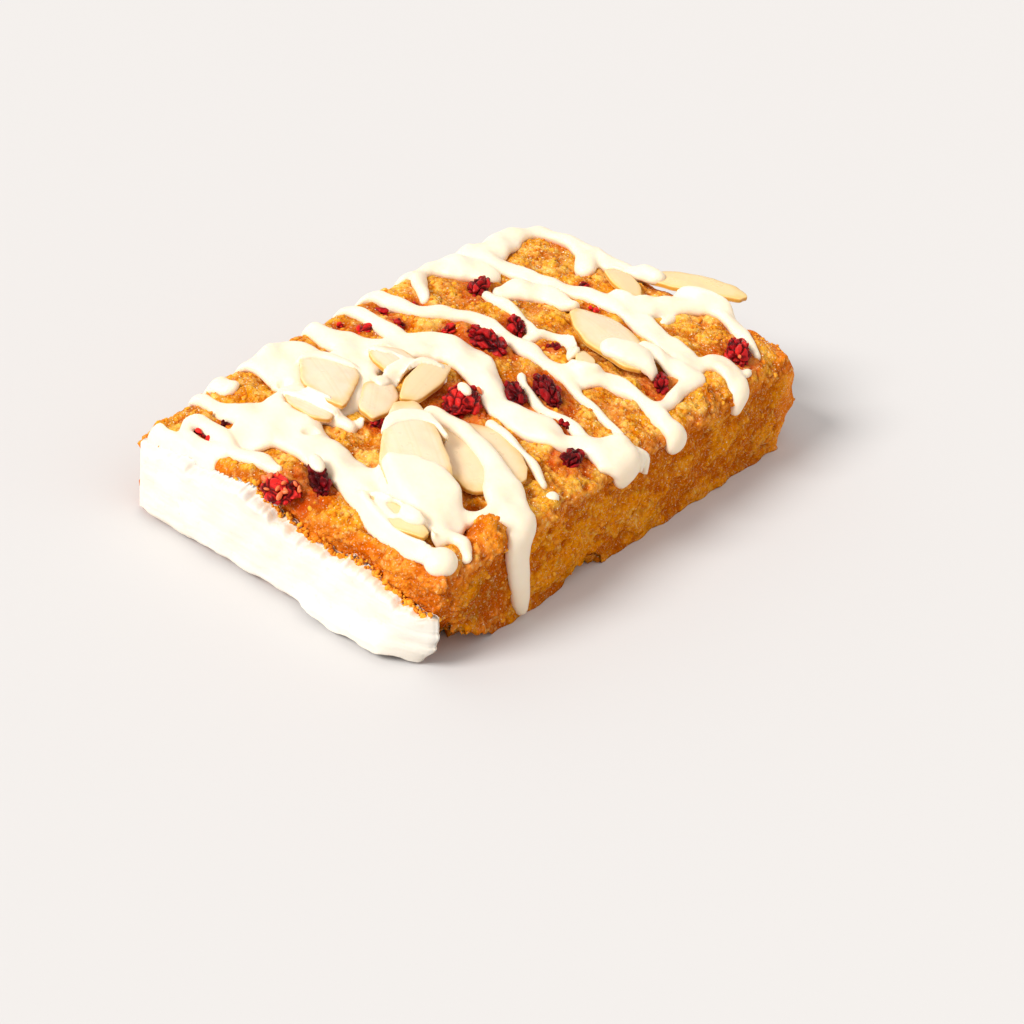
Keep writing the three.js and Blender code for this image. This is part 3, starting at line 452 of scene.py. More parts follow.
def almondFlake(index, almond, material):
    # rows that shrink the outline towards its middle, from the middle of the face over the
    # thin rim to the middle of the back; both faces wave a little together
    rings, around = flake["rings"], flake["around"]
    outline = roundedOutline(almond["outline"], around)
    following = np.roll(outline, -1, axis=0)
    if (outline[:, 0] * following[:, 1] - outline[:, 1] * following[:, 0]).sum() < 0:
        outline = outline[::-1]
    middle = outline.mean(axis=0)
    seeded = placesOf(outline[:, 0], outline[:, 1], index * 9.0)
    ragged = roughNoise(seeded, size=1.3, seed=40 + index, octaves=4, gain=0.6)
    wander = 1 - flake["wander"] * (0.5 + 0.5 * ragged)
    spoke = (outline - middle) * wander[:, None]
    turnIn = np.linspace(0, math.pi, flake["rimRows"] + 1)
    lip = flake["lip"]
    flat = np.linspace(flake["innermost"], 1 - lip, rings)
    outShare = np.concatenate([flat, 1 - lip + lip * np.sin(turnIn[1:-1]), flat[::-1]])
    rise = np.concatenate([np.ones(rings), np.cos(turnIn[1:-1]), -np.ones(rings)])
    plan = middle + outShare[:, None, None] * spoke
    x, y = plan[..., 0], plan[..., 1]
    half = blend(flake["thick"], flake["rimThick"], outShare[:, None] ** 2) / 2 * rise[:, None]
    wave = flake["wave"] * roughNoise(placesOf(x, y, index * 5.0), size=3.2, seed=90 + index, octaves=2)
    z = almondSurface(almond, x, y)[0] + half + wave
    points = placesOf(x, y, z).reshape(-1, 3)
    rows = len(outShare)
    quads = gridFaces(rows, around, closed=True)[:, ::-1]
    ends = []
    for first, flip in ((0, False), ((rows - 1) * around, True)):
        ring = first + np.arange(around)
        points = np.concatenate([points, points[ring].mean(axis=0, keepdims=True)])
        fan = np.stack([np.full(around, len(points) - 1), ring, np.roll(ring, -1)], axis=1)
        ends.append(fan[:, ::-1] if flip else fan)
    acrossLine = turned(x - almond["at"][0], y - almond["at"][1], -almond["turn"])[1]
    rim = np.repeat(smooth((outShare - 0.7) / 0.3), around)
    edge = np.repeat(1 - np.abs(rise), around)
    values = dict(rimShare=np.append(rim, [0, 0]), edgeShare=np.append(edge, [0, 0]),
                  across=np.append(acrossLine.ravel(), [0, 0]),
                  tone=np.full(len(points), almond["gold"]))
    piece = putMesh(f"almondFlake{index}", points, [quads, *ends], material, values)
    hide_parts(f"almond_flake_{index}")


# white chocolate drizzle

drip = dict(
    full=1.42, spread=2.2, wideFrom=3, wideOver=7, root=0.9, rootShare=0.8, rootPoints=6, step=0.45,
    edgeBend=1.6, edgeFade=2, across=26, tipRings=7, tipLength=0.5, tipLeast=0.004, uneven=0.17,
    bandHeight=0.36, dropSunk=0.35, voxel=0.325, softness=0.5, rounds=3, swell=0.05,
    flakeGrip=0.6, underFlake=0.1, pitEdge=1.2,
)
strands = [  # x, way along the surface (past the front edge it runs down the side), width
    [(-38.2, 22, 1.5), (-37.1, 19.5, 2.2), (-37.8, 15.5, 3), (-39.4, 12, 2.2), (-38.6, 8, 2.8),
     (-38.8, 4.6, 1.5)],
    [(-38.4, 22, 1.5), (-40.3, 20, 2.4), (-40.6, 16.5, 2.6), (-40.2, 13, 2)],
    [(-41.6, 25, 3.2), (-42, 20, 3), (-42.2, 14, 2.4)],
    [(-32.4, 26.4, 2.2), (-32.8, 23, 2), (-32.7, 19, 4), (-31, 14, 8), (-31.2, 9, 8), (-32.2, 4, 6.4),
     (-32.7, -0.5, 5.4), (-34, -5.5, 6.2), (-32.8, -10.5, 8.4), (-32, -15, 9), (-33.4, -19.4, 6.6)],
    [(-35.4, -5, 3), (-38, -9.3, 1.9), (-39.6, -13, 1.6), (-40.4, -17, 1.4), (-40.3, -20.4, 1.5),
     (-39.8, -23, 2)],
    [(-36.9, -21.6, 2.2), (-35.1, -22.2, 2.4), (-34.9, -24.2, 2), (-36.6, -26.4, 1.4)],
    [(-28.6, 26.4, 3.4), (-28.8, 23.6, 3.4)],
    [(-19.5, 26, 8.6), (-19, 23, 10), (-19, 18, 12), (-19.5, 12, 13)],
    [(-34, 12.5, 8), (-27, 12, 10), (-20, 13, 10), (-13, 14, 9), (-6, 13, 7)],
    [(-24.8, 7, 3), (-25, 3.8, 1.6)],
    [(-8.2, 27.6, 2.6), (-9.2, 25.5, 3), (-9.5, 20, 5), (-8, 14, 7), (-3, 11, 6.5), (-0.2, 7.5, 7),
     (0, 3.5, 6.4), (-1.2, 0, 5.4), (-3.4, -3.4, 4.8), (-5.8, -6.6, 3.8), (-6.6, -10, 4.8),
     (-6.5, -15, 6), (-6.4, -18.5, 4.2), (-4.2, -22, 5), (-3, -25, 8.4), (-2.6, -28, 5.6)],
    [(-1.5, 27.6, 2.4), (-1.2, 25, 2.3), (-1.4, 20, 2.4), (-2.4, 15, 3.6)],
    [(2.6, -4.5, 1.5), (0.8, -6.6, 1.2), (-1, -9.6, 1.5), (-2.4, -13.4, 1.3), (-1.9, -16.6, 1.8),
     (-3.2, -20.4, 2.4)],
    [(3, 27.6, 2.4), (4.8, 25, 2.4), (5.2, 21, 2.8), (5.8, 17.6, 3.2), (9, 13.2, 3.1), (10.5, 9.6, 2.8),
     (9.6, 4.5, 2.5), (9.2, -0.5, 3.5), (8.3, -5, 2.5), (7.8, -9.6, 4.2)],
    [(6.8, -10.4, 2.6), (5.1, -13.6, 1.6), (3.8, -17.6, 1.7), (1.4, -23.4, 1.3)],
    [(8.6, -10.4, 4), (11.2, -13.6, 3.2), (11.8, -17.6, 2.4), (11, -21.4, 2.6), (9.6, -25, 3.3),
     (9.8, -28.6, 4)],
    [(-14.6, -1.6, 2.4), (-14.5, -5, 2.8), (-16.6, -11, 2.8), (-19.4, -16.8, 3.4), (-23, -21.4, 5.4),
     (-25, -25, 5.4), (-26.8, -28.6, 4.8), (-26.6, -31.4, 3.8), (-25.6, -35, 3.6), (-24.6, -39, 3),
     (-24.2, -40.4, 2.2)],
    [(-36, -17.4, 5), (-32, -20.4, 2.6), (-28.2, -22.5, 2.1), (-24.4, -22.8, 4)],
    [(-10.4, -9.2, 1.8), (-12, -14, 1.6), (-13.4, -18, 1.6), (-16.4, -23.2, 1.2)],
    [(12, 1.6, 2), (14.4, 0.6, 1.6), (15.9, -1.6, 1.6), (14.6, -4.6, 1.8), (12.4, -6.4, 2)],
    [(10.6, -22.6, 3), (14, -22.6, 2.5), (18, -22, 2.4), (22.6, -21.4, 3.6)],
    [(17.4, 13.8, 2), (17, 11, 2.2), (16.2, 7, 2), (13.4, 1.6, 1.8)],
    [(20, 13, 3), (23, 11.4, 5), (24.8, 7.6, 3.8), (24.4, 3, 3)],
    [(16.4, 26.2, 2), (12.8, 23.4, 2.6), (9, 19.2, 1.6)],
    [(12.6, 27, 3.6), (18.6, 26, 5.6), (21.4, 22.6, 6.4), (22.6, 17.6, 4)],
    [(26.6, 27.2, 4), (26.6, 22, 4.6), (26.8, 15, 3), (28.4, 9, 3), (29.6, 3, 3.3), (30.8, -3, 5),
     (28.4, -9, 4.2), (26.6, -14, 4.6), (25, -19, 5)],
    [(21.6, -13, 2.6), (22, -17, 3.2), (22.8, -21, 3.8)],
    [(17.2, -10.4, 4.6), (18, -13.4, 5.6), (17.6, -17, 2)],
    [(25.4, -19.8, 2.6), (29, -21.4, 4.4), (28.4, -24.4, 4.4), (26.6, -27.6, 3.2), (26, -29.6, 1.8)],
    [(27, 22, 6), (33, 23.6, 6), (38, 24, 5), (42, 22, 4.4), (43, 17, 4), (41.5, 12.4, 4.6),
     (37, 9.4, 3.6)],
    [(44.2, 12.4, 2.6), (41.8, 9, 4.6), (42, 4, 4.4), (41.4, -1, 3.6)],
    [(30.6, -4.4, 4.8), (35, -6, 4.6), (40, -8.8, 5.2), (42, -12, 3.8), (41.2, -16, 3), (38.6, -20, 2.6),
     (36.4, -23.8, 1.3)],
    # small drips under the blob at the front edge
    [(-0.8, -27.2, 1.5), (-0.9, -30.4, 0.9)], [(1, -27, 1.3), (1.1, -29.4, 0.8)],
    [(0.8, -25.6, 1.6), (2.3, -27.4, 1.1), (2.7, -30.4, 0.8)],
]
bands = [  # thin streaks of chocolate over the flakes
    [(-25.8, -2.6, 1), (-23.2, -2.2, 2.6), (-20.6, -3.6, 3), (-19.4, -6.4, 2.2), (-20.8, -9.4, 1)],
    [(-18.6, 19.2, 2), (-16.6, 17.6, 2.2), (-15.4, 14.4, 1.8), (-15, 11.6, 1)],
    [(-26, 15, 1.4), (-25, 10.6, 1.6), (-24.8, 5.6, 1.6), (-23.6, 3.4, 1.3)],
    [(-15, 7, 2.4), (-11.6, 7.4, 3), (-7.8, 6.8, 2.6), (-6.2, 3.4, 1.6), (-8, 1.4, 0.9)],
    [(-9.6, 13.4, 2.2), (-8.4, 9.6, 1.4), (-8.4, 6.8, 1)],
    [(-36, -10.2, 1.4), (-37.6, -12.6, 1.2), (-38.6, -15.6, 0.9)],
    [(-27, -12.6, 0.5), (-28.4, -15.4, 0.7), (-29.4, -18, 0.6)],
]


def broadRelief(points):
    # the crust's swells of some millimetres, which the drizzle follows too
    return bar["swell"] * roughNoise(points, size=bar["swellSize"], seed=11, octaves=2)


def drizzleFloor(x, s, overAll=False):
    # the place on the surface at x, a distance s along it, and the way it faces: over the
    # front edge it bends down on a circle and then runs straight down
    bendStart = bar["front"] + drip["edgeBend"]
    onTop = np.maximum(s, bendStart)
    z = craggyHeight(x, onTop) - rimFall(x, onTop)
    behindEdge = smooth((s - bendStart) / drip["edgeFade"])
    z = z + almondLift(x, onTop, overAll) * behindEdge
    z = z + broadRelief(placesOf(x, onTop, z)) * behindEdge
    angle = np.clip((bendStart - s) / drip["edgeBend"], 0, math.pi / 2)
    below = np.maximum(0, bendStart - s - drip["edgeBend"] * math.pi / 2)
    y = onTop - drip["edgeBend"] * np.sin(angle)
    z = z - drip["edgeBend"] * (1 - np.cos(angle)) - below
    return placesOf(x, y, z), placesOf(0.0, -np.sin(angle), np.cos(angle))


def pathThrough(knots, step):
    # a centripetal spline through the knots, resampled at even steps along it
    knots = np.array(knots, dtype=float)
    ends = 2 * knots[[0, -1]] - knots[[1, -2]]
    line = np.concatenate([ends[:1], knots, ends[1:]])
    share = np.linspace(0, 1, 24, endpoint=False)[:, None]
    parts = []
    for a, b, c, d in zip(line, line[1:], line[2:], line[3:]):
        gaps = [np.linalg.norm((q - p)[:2]) ** 0.5 + 1e-9 for p, q in ((a, b), (b, c), (c, d))]
        t0, t1 = 0, gaps[0]
        t2, t3 = t1 + gaps[1], t1 + gaps[1] + gaps[2]
        t = t1 + (t2 - t1) * share
        ab = a * (t1 - t) / (t1 - t0) + b * (t - t0) / (t1 - t0)
        bc = b * (t2 - t) / (t2 - t1) + c * (t - t1) / (t2 - t1)
        cd = c * (t3 - t) / (t3 - t2) + d * (t - t2) / (t3 - t2)
        left = ab * (t2 - t) / (t2 - t0) + bc * (t - t0) / (t2 - t0)
        right = bc * (t3 - t) / (t3 - t1) + cd * (t - t1) / (t3 - t1)
        parts.append(left * (t2 - t) / (t2 - t1) + right * (t - t1) / (t2 - t1))
    dense = np.concatenate([*parts, knots[-1:]])
    along = np.concatenate([[0], np.cumsum(np.linalg.norm(np.diff(dense[:, :2], axis=0), axis=1))])
    even = np.linspace(0, along[-1], max(4, int(along[-1] / step) + 1))
    return np.stack([np.interp(even, along, dense[:, k]) for k in range(3)], axis=-1)


def strandMesh(knots, seed, band=False):
    # the section is z = h (1 - |t|^p)^(1/p): half round where narrow, flat-topped where wide;
    # both ends are rounded off over half a width
    path = pathThrough(knots, drip["step"])
    spots = placesOf(path[:, 0], path[:, 1], seed * 9.0)
    path[:, 2] *= 1 + drip["uneven"] * roughNoise(spots, size=2.6, seed=21, octaves=3, gain=0.7)
    tip = np.sin(np.linspace(0, math.pi / 2, drip["tipRings"] + 1))[1:]
    shrink = np.sqrt(np.maximum(1 - tip ** 2, drip["tipLeast"]))
    startWay = path[0, :2] - path[1, :2]
    endWay = path[-1, :2] - path[-2, :2]
    startWay, endWay = startWay / np.linalg.norm(startWay), endWay / np.linalg.norm(endWay)
    reach = drip["tipLength"]
    before = path[0, :2] + startWay * (tip * reach * path[0, 2])[:, None]
    after = path[-1, :2] + endWay * (tip * reach * path[-1, 2])[:, None]
    centre = np.concatenate([before[::-1], path[:, :2], after])
    full = np.concatenate([np.full(len(tip), path[0, 2]), path[:, 2], np.full(len(tip), path[-1, 2])])
    taper = np.concatenate([shrink[::-1], np.ones(len(path)), shrink])
    way = np.gradient(centre, axis=0)
    way /= np.linalg.norm(way, axis=1, keepdims=True)
    side = np.stack([way[:, 1], -way[:, 0]], axis=-1)
    height = drip["full"] * (1 - np.exp(-full / drip["spread"])) * taper
    height = height * (drip["bandHeight"] if band else 1)
    power = (2 + 2 * smooth((full - drip["wideFrom"]) / drip["wideOver"]))[:, None]
    t = np.cos(np.linspace(0, math.pi, drip["across"]))
    lift = height[:, None] * np.maximum(1 - np.abs(t) ** power, 0) ** (1 / power)
    foot = np.linspace(-drip["rootShare"], drip["rootShare"], drip["rootPoints"])
    across = np.concatenate([np.tile(t, (len(centre), 1)), np.tile(foot, (len(centre), 1))], axis=1)
    lift = np.concatenate([lift, np.full((len(centre), len(foot)), -drip["root"])], axis=1)
    offset = across * (full * taper / 2)[:, None]
    plan = centre[:, None] + side[:, None] * offset[..., None]
    floor, up = drizzleFloor(plan[..., 0], plan[..., 1], band)
    points = (floor + up * lift[..., None]).reshape(-1, 3)
    per = across.shape[1]
    quads = gridFaces(len(centre), per, closed=True)
    last = (len(centre) - 1) * per
    caps = [np.arange(per)[None, ::-1], last + np.arange(per)[None]]
    return points, quads, caps


# chocolate drops: plan place, half sizes, height and turn of the dome; the last two lie
# on raspberry pieces
drops = [
    (-17.6, -25.6, 1.1, 1.0, 0.9, 0), (31.2, -25.2, 1.2, 0.8, 0.8, 0), (33.5, -9, 2.4, 0.9, 0.9, 0),
    (-39.5, -24.4, 2.3, 2.2, 1.9, 0), (-37.1, -0.6, 2.2, 1.1, 0.8, 58), (-9.4, -3.3, 1.7, 0.9, 0.7, 62),
]
pits = [(-24.0, 17.4, 1.1, 0.9), (-31.0, 6.0, 1.3, 1.1)]  # dents in the wide drizzle: place, reach, depth


def dented(points):
    # the heights, let down round each pit's middle
    z = points[:, 2].copy()
    for x, y, reach, depth in pits:
        away = np.hypot(points[:, 0] - x, points[:, 1] - y) / reach
        z -= depth * smooth(drip["pitEdge"] - away) * (z > crustHeight(x, y) + 0.3)
    return z


def underFlakes(points):
    # the heights, pressed down to the middle of the flakes that lie on the drizzle
    z = points[:, 2].copy()
    for almond in almonds:
        if not almond["under"]:
            surface, out = almondSurface(almond, points[:, 0], points[:, 1])
            below = (out < 1) & (z < surface + drip["flakeGrip"] * flake["thick"])
            z = np.where(below, np.minimum(z, surface - drip["underFlake"]), z)
    return z


def berryTop(x, y):
    # how high the raspberry pieces' ellipsoids reach at (x, y)
    highest = 0
    for (atX, atY), half, turn, lift, *_ in berries:
        p, q = turned(x - atX, y - atY, -turn)
        p, q = p / half[0], q / half[1]
        if p * p + q * q < 1:
            highest = max(highest, crustHeight(atX, atY) + lift + half[2] * math.sqrt(1 - p * p - q * q))
    return highest


def drizzleParts():
    # the strands, the streaks and the domes of the drops in one set of points
    parts = []
    for seed, knots in enumerate(strands + bands):
        points, quads, caps = strandMesh(knots, seed, seed >= len(strands))
        parts.append((points, [quads, *caps]))
    dome, domeFaces = ball(3)
    for x, y, halfX, halfY, height, turn in drops:
        floor = drizzleFloor(np.array([float(x)]), np.array([float(y)]))[0][0]
        floor[2] = max(floor[2], berryTop(x, y) - drip["dropSunk"])
        domeX, domeY = turned(dome[:, 0] * halfX, dome[:, 1] * halfY, turn)
        parts.append((floor + placesOf(domeX, domeY, dome[:, 2] * height), [domeFaces]))
    starts = np.cumsum([0] + [len(points) for points, _ in parts])
    faces = [face + start for (_, own), start in zip(parts, starts) for face in own]
    return np.concatenate([points for points, _ in parts]), faces


def drizzlePiece(material):
    # the parts are fused by a fine remesh, softened and swollen unevenly
    points, faces = drizzleParts()
    piece = putMesh("whiteDrizzle", points, faces, material)
    remesh = piece.modifiers.new("fuse", "REMESH")
    remesh.mode = "VOXEL"
    remesh.voxel_size = drip["voxel"] * mm
    soften = piece.modifiers.new("soften", "SMOOTH")
    soften.factor = drip["softness"]
    soften.iterations = drip["rounds"]
    solid = appliedMesh(piece)
    normal = vertexValues(solid, "normal")
    points = vertexValues(solid, "co") / mm + planShift
    points = points + normal * (drip["swell"] * roughNoise(points, size=2.4, seed=31, octaves=2))[:, None]
    points[:, 2] = underFlakes(points)
    points[:, 2] = dented(points)
    place = np.clip((points - planShift) * mm, boxLow, boxHigh)
    solid.vertices.foreach_set("co", place.astype(np.float32).ravel())
    solid.polygons.foreach_set("use_smooth", np.ones(len(solid.polygons), dtype=bool))
    solid.update()
    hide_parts("blondie")


def vertexValues(mesh, name):
    # one row of three numbers for each vertex
    values = np.empty(len(mesh.vertices) * 3, dtype=np.float32)
    mesh.vertices.foreach_get(name, values)
    return values.reshape(-1, 3)


def appliedMesh(piece):
    # the modifiers' result becomes the piece's own mesh
    graph = bpy.context.evaluated_depsgraph_get()
    solid = bpy.data.meshes.new_from_object(piece.evaluated_get(graph))
    piece.modifiers.clear()
    piece.data = solid
    return solid


# crumb and crust

crumb = dict(
    alongX=256, alongY=160, sideRows=45, roundRows=7, under=(0.5, 1.2, 2.2, 3.6, 5.2, 7, 12, 22),
    blendReach=2.6, topFade=2.2, setBack=0.3, sideSetBack=0.22, sideFrom=1.5,
    footFade=0.8, footLeast=0.35, underDrizzle=0.4, drizzleFade=0.6,
    underFlake=0.15, flakeReach=1.25, flakeRise=3, hollowEdge=1.15, hollowFade=0.5,
    endBulge=1.1, bulgeBack=0.5, bulgeFrom=38, bulgeWidth=5,
)
hollows = [(-28.1, -20.3, 2.3, 1.5, 1.5)]  # plan place, half sizes and depth


def endShift(x, share):
    # how far the baked end stands out at this share of its height
    bulge = np.sin(math.pi * np.clip(share, 0, 1)) - crumb["bulgeBack"]
    return crumb["endBulge"] * bulge * smooth((x - crumb["bulgeFrom"]) / crumb["bulgeWidth"])


def beyondStrands(x, y):
    # how far outside the drizzle's strands (x, y) lies, negative under them
    beyond = np.full(len(x), 9.0)
    for knots in strands:
        path = pathThrough(knots, 0.8)
        reach = path[:, 2].max() / 2 + 1
        low, high = path[:, :2].min(axis=0) - reach, path[:, :2].max(axis=0) + reach
        near = np.flatnonzero((x > low[0]) & (x < high[0]) & (y > low[1]) & (y < high[1]))
        apart = np.hypot(x[near, None] - path[:, 0], y[near, None] - path[:, 1]) - path[:, 2] / 2
        beyond[near] = np.minimum(beyond[near], apart.min(axis=1))
    return beyond


def berryShadeAt(x, y):
    # 1 under and beside a raspberry piece or crumb, fading out over about a millimetre; there the crust is
    # painted a reddish shade
    berryShade = np.zeros_like(x)
    for (atX, atY), half, turn, *_ in berries:
        p, q = turned(x - atX, y - atY, -turn)
        out = np.hypot(p / (half[0] + 1.6), q / (half[1] + 1.6))
        berryShade = np.maximum(berryShade, smooth((1.05 - out) / 0.3))
    for atX, atY, halfX, halfY in berryCrumbs:
        out = np.hypot((x - atX) / (halfX + 0.8), (y - atY) / (halfY + 0.8))
        berryShade = np.maximum(berryShade, smooth((1.1 - out) / 0.4))
    return berryShade


def underHeight(x, y):
    # the broken wedge at the coated corner and the notch, as heights of the underside
    line = bite["height"] * np.clip(1 - (x - bite["start"]) / bite["length"], 0, 1)
    line = line * (1 + 0.1 * np.sin(2.3 * x))
    edge = bar["front"] + bite["depth"] - bite["shallow"] * (x - bite["start"]) / bite["length"]
    ragged = bite["ragged"] * np.sin(1.9 * x + 0.7)
    broken = line * smooth((edge + ragged - y) / bite["soft"] + 0.5)
    r = ((x - notch["x"]) / notch["halfX"]) ** 2 + ((y - notch["y"]) / notch["halfY"]) ** 2
    return np.maximum(broken, notch["height"] * np.sqrt(np.maximum(0, 1 - r)))


# sizes of the crumb's forms, and how far each stands out, or goes in, on the crust and the sides
reliefSizes = dict(mound=2.9, grain=1.15, dust=0.62, crack=2.6, pit=1.9, plate=3.6)
reliefShares = dict(top=dict(mound=0.62, grain=0.28, dust=0.12, crack=-0.32, pit=-0.3),
                    side=dict(mound=0.22, grain=0.22, dust=0.2, crack=-0.14, pit=-0.6, ledge=0.36))


def crumbRelief(points, topShare):
    # mounds of crust, grains of crumb in two sizes, thin cracks, pits and, on the cut sides,
    # the ledges that a knife tears; the cells are bent by noise so that none repeats
    sizes = reliefSizes
    warp = np.stack([valueNoise(points, size=1.9, seed=401 + k) for k in range(3)], axis=-1)
    near, _, tag = cellNoise(points + 0.7 * warp, size=sizes["mound"], seed=101)
    grainNear, _, grainTag = cellNoise(points + 0.25 * warp, size=sizes["grain"], seed=131)
    plates = roughNoise(points * [0.6, 0.6, 1.0], size=sizes["plate"], seed=221, octaves=3)
    forms = dict(
        mound=np.sqrt(np.clip(1 - (near / 0.72) ** 2, 0, 1)) * (0.35 + 0.65 * tag),
        grain=np.clip(1 - (grainNear / 0.6) ** 2, 0, 1) * (0.3 + 0.7 * grainTag),
        dust=roughNoise(points, size=sizes["dust"], seed=151, octaves=2),
        crack=1 - smooth(np.abs(roughNoise(points, size=sizes["crack"], seed=171, octaves=3)) / 0.07),
        pit=smooth((roughNoise(points, size=sizes["pit"], seed=191, octaves=3) - 0.42) / 0.16),
        ledge=smooth((plates + 0.04) / 0.06) + 0.8 * smooth((plates - 0.26) / 0.05),
    )
    top = sum(share * forms[name] for name, share in reliefShares["top"].items())
    side = sum(share * forms[name] for name, share in reliefShares["side"].items()) - 0.2
    # the cracks and pits, where the crumb is painted darker as painted shade
    torn = np.maximum(0.7 * forms["crack"], forms["pit"])
    return blend(side, top, topShare), grainTag, torn


nuggets = [  # jagged orange and yellow lumps: plan place, reach, how far they stand out
    (-31, -25.4, 2.9, 1.5), (18, -22.8, 1.8, 0.9), (22.2, -24.4, 2, 1), (16.1, -28.2, 1.7, 0.7),
    (11.7, -27.9, 1.6, 0.7), (28.6, -14, 1.8, 0.6), (35.6, 2.6, 2.2, 0.6),
]


def nuggetShare(points):
    # 1 on a lump, and how far the lumps rise there
    share, rise = np.zeros(len(points)), np.zeros(len(points))
    for x, y, reach, height in nuggets:
        near = smooth(1.2 - np.hypot(points[:, 0] - x, points[:, 1] - y) / reach)
        share, rise = np.maximum(share, near), np.maximum(rise, near * height)
    return share, rise


# where the crumb is baked orange or brown, and where the smooth baked end begins
zones = dict(
    cornerX=-38.6, cornerWidth=3.4, cornerFront=-12, cornerFade=8, wallX=-41.5, bandDepth=3.2,
    wallRagged=0.4, wallFade=0.8, bandShare=0.75, bandFade=1.6,
    lumpAt=(-31, -25), lumpReach=4.5, lumpFade=1.5,
    endX=38.5, endWidth=4.5, endSmooth=0.75, endShare=0.4, endFade=5,
    oliveAt=(-32.6, 7.4), oliveHalf=(5.6, 4.6), oliveFront=-22, oliveRagged=0.2, oliveFade=0.5, ragged=1.3,
)


def bakedShare(points, below, side):
    # the orange parts: the corner by the coat, the band under the crust, the baked end and
    # the lump beside the hook, all with ragged borders
    x, y, _ = points.T
    ragged = zones["ragged"] * roughNoise(points, size=2.4, seed=241, octaves=3)
    nearFront = smooth((zones["cornerFront"] - y) / zones["cornerFade"])
    corner = smooth((zones["cornerX"] + ragged - x) / zones["cornerWidth"] + 0.5) * nearFront
    wall = smooth((zones["wallX"] + zones["wallRagged"] * ragged - x) / zones["wallFade"] + 0.5)
    inBand = smooth((zones["bandDepth"] + ragged - below) / zones["bandFade"])
    band = np.where(side, zones["bandShare"] * inBand, 0)
    fromLump = np.hypot(x - zones["lumpAt"][0], y - zones["lumpAt"][1])
    lump = smooth((zones["lumpReach"] + ragged - fromLump) / zones["lumpFade"])
    end = zones["endShare"] * smooth((x + ragged - zones["endX"]) / zones["endFade"])
    return np.clip(np.maximum.reduce([corner, wall, band, lump, end]), 0, 1)


def oliveShare(points, side):
    # the darker brown patch on the cut side beside the long drip
    x, y, z = points.T
    ragged = zones["oliveRagged"] * zones["ragged"] * roughNoise(points, size=2.2, seed=251, octaves=3)
    across = (x - zones["oliveAt"][0]) / zones["oliveHalf"][0]
    up = (z - zones["oliveAt"][1]) / zones["oliveHalf"][1]
    patch = smooth((1 - np.hypot(across, up) + ragged) / zones["oliveFade"])
    return np.where(side & (y < zones["oliveFront"]), patch, 0)


def rimSteps():
    # whole-numbered steps of the crust's grid, once round its rim
    nx, ny = crumb["alongX"], crumb["alongY"]
    i, j = np.arange(nx), np.arange(ny)
    walk = [(i, 0 * i), (0 * j + nx, j), (nx - i, 0 * i + ny), (0 * j, ny - j)]
    return np.concatenate([np.stack(side, axis=1) for side in walk])


def crustPlaces(u, v):
    # the crust's places on straight lines from the middle to the rim point beyond (u, v);
    # towards the rim the craggy height is led over to the rim's own
    out = np.maximum(np.maximum(np.abs(u), np.abs(v)), 1e-9)
    rimU, rimV = np.where(out > 1e-6, u / out, 1.0), np.where(out > 1e-6, v / out, 0.0)
    rimTop = rimHeight(rimU, rimV)
    rimX, rimY = sidePoint(rimU, rimV, rimTop, rimTop)
    x, y = blend(barMiddle[0], rimX, out), blend(barMiddle[1], rimY, out)
    atRim = craggyHeight(rimX, rimY) - rimFall(rimX, rimY)
    fromRim = np.hypot(rimX - x, rimY - y)
    z = craggyHeight(x, y) - rimFall(x, y)
    return placesOf(x, y, z + (rimTop - atRim) * (1 - smooth(fromRim / crumb["blendReach"])))


def underside(footX, footY, total):
    # rings that shrink from the foot to the middle; total counts the points made before them
    rings, faces, count = [], [], len(footX)
    previous = np.arange(count)
    for inset in crumb["under"]:
        ringX = blend(barMiddle[0], footX, 1 - inset / (bar["right"] - barMiddle[0]))
        ringY = blend(barMiddle[1], footY, 1 - inset / (bar["back"] - barMiddle[1]))
        rings.append(placesOf(ringX, ringY, underHeight(ringX, ringY)))
        current = total + np.arange(count)
        total += count
        faces.append(np.stack([previous, current, np.roll(current, -1), np.roll(previous, -1)], axis=1))
        previous = current
    rings.append(np.array([[*barMiddle, 0.0]]))
    faces.append(np.stack([previous, np.full(count, total), np.roll(previous, -1)], axis=1))
    return rings, faces


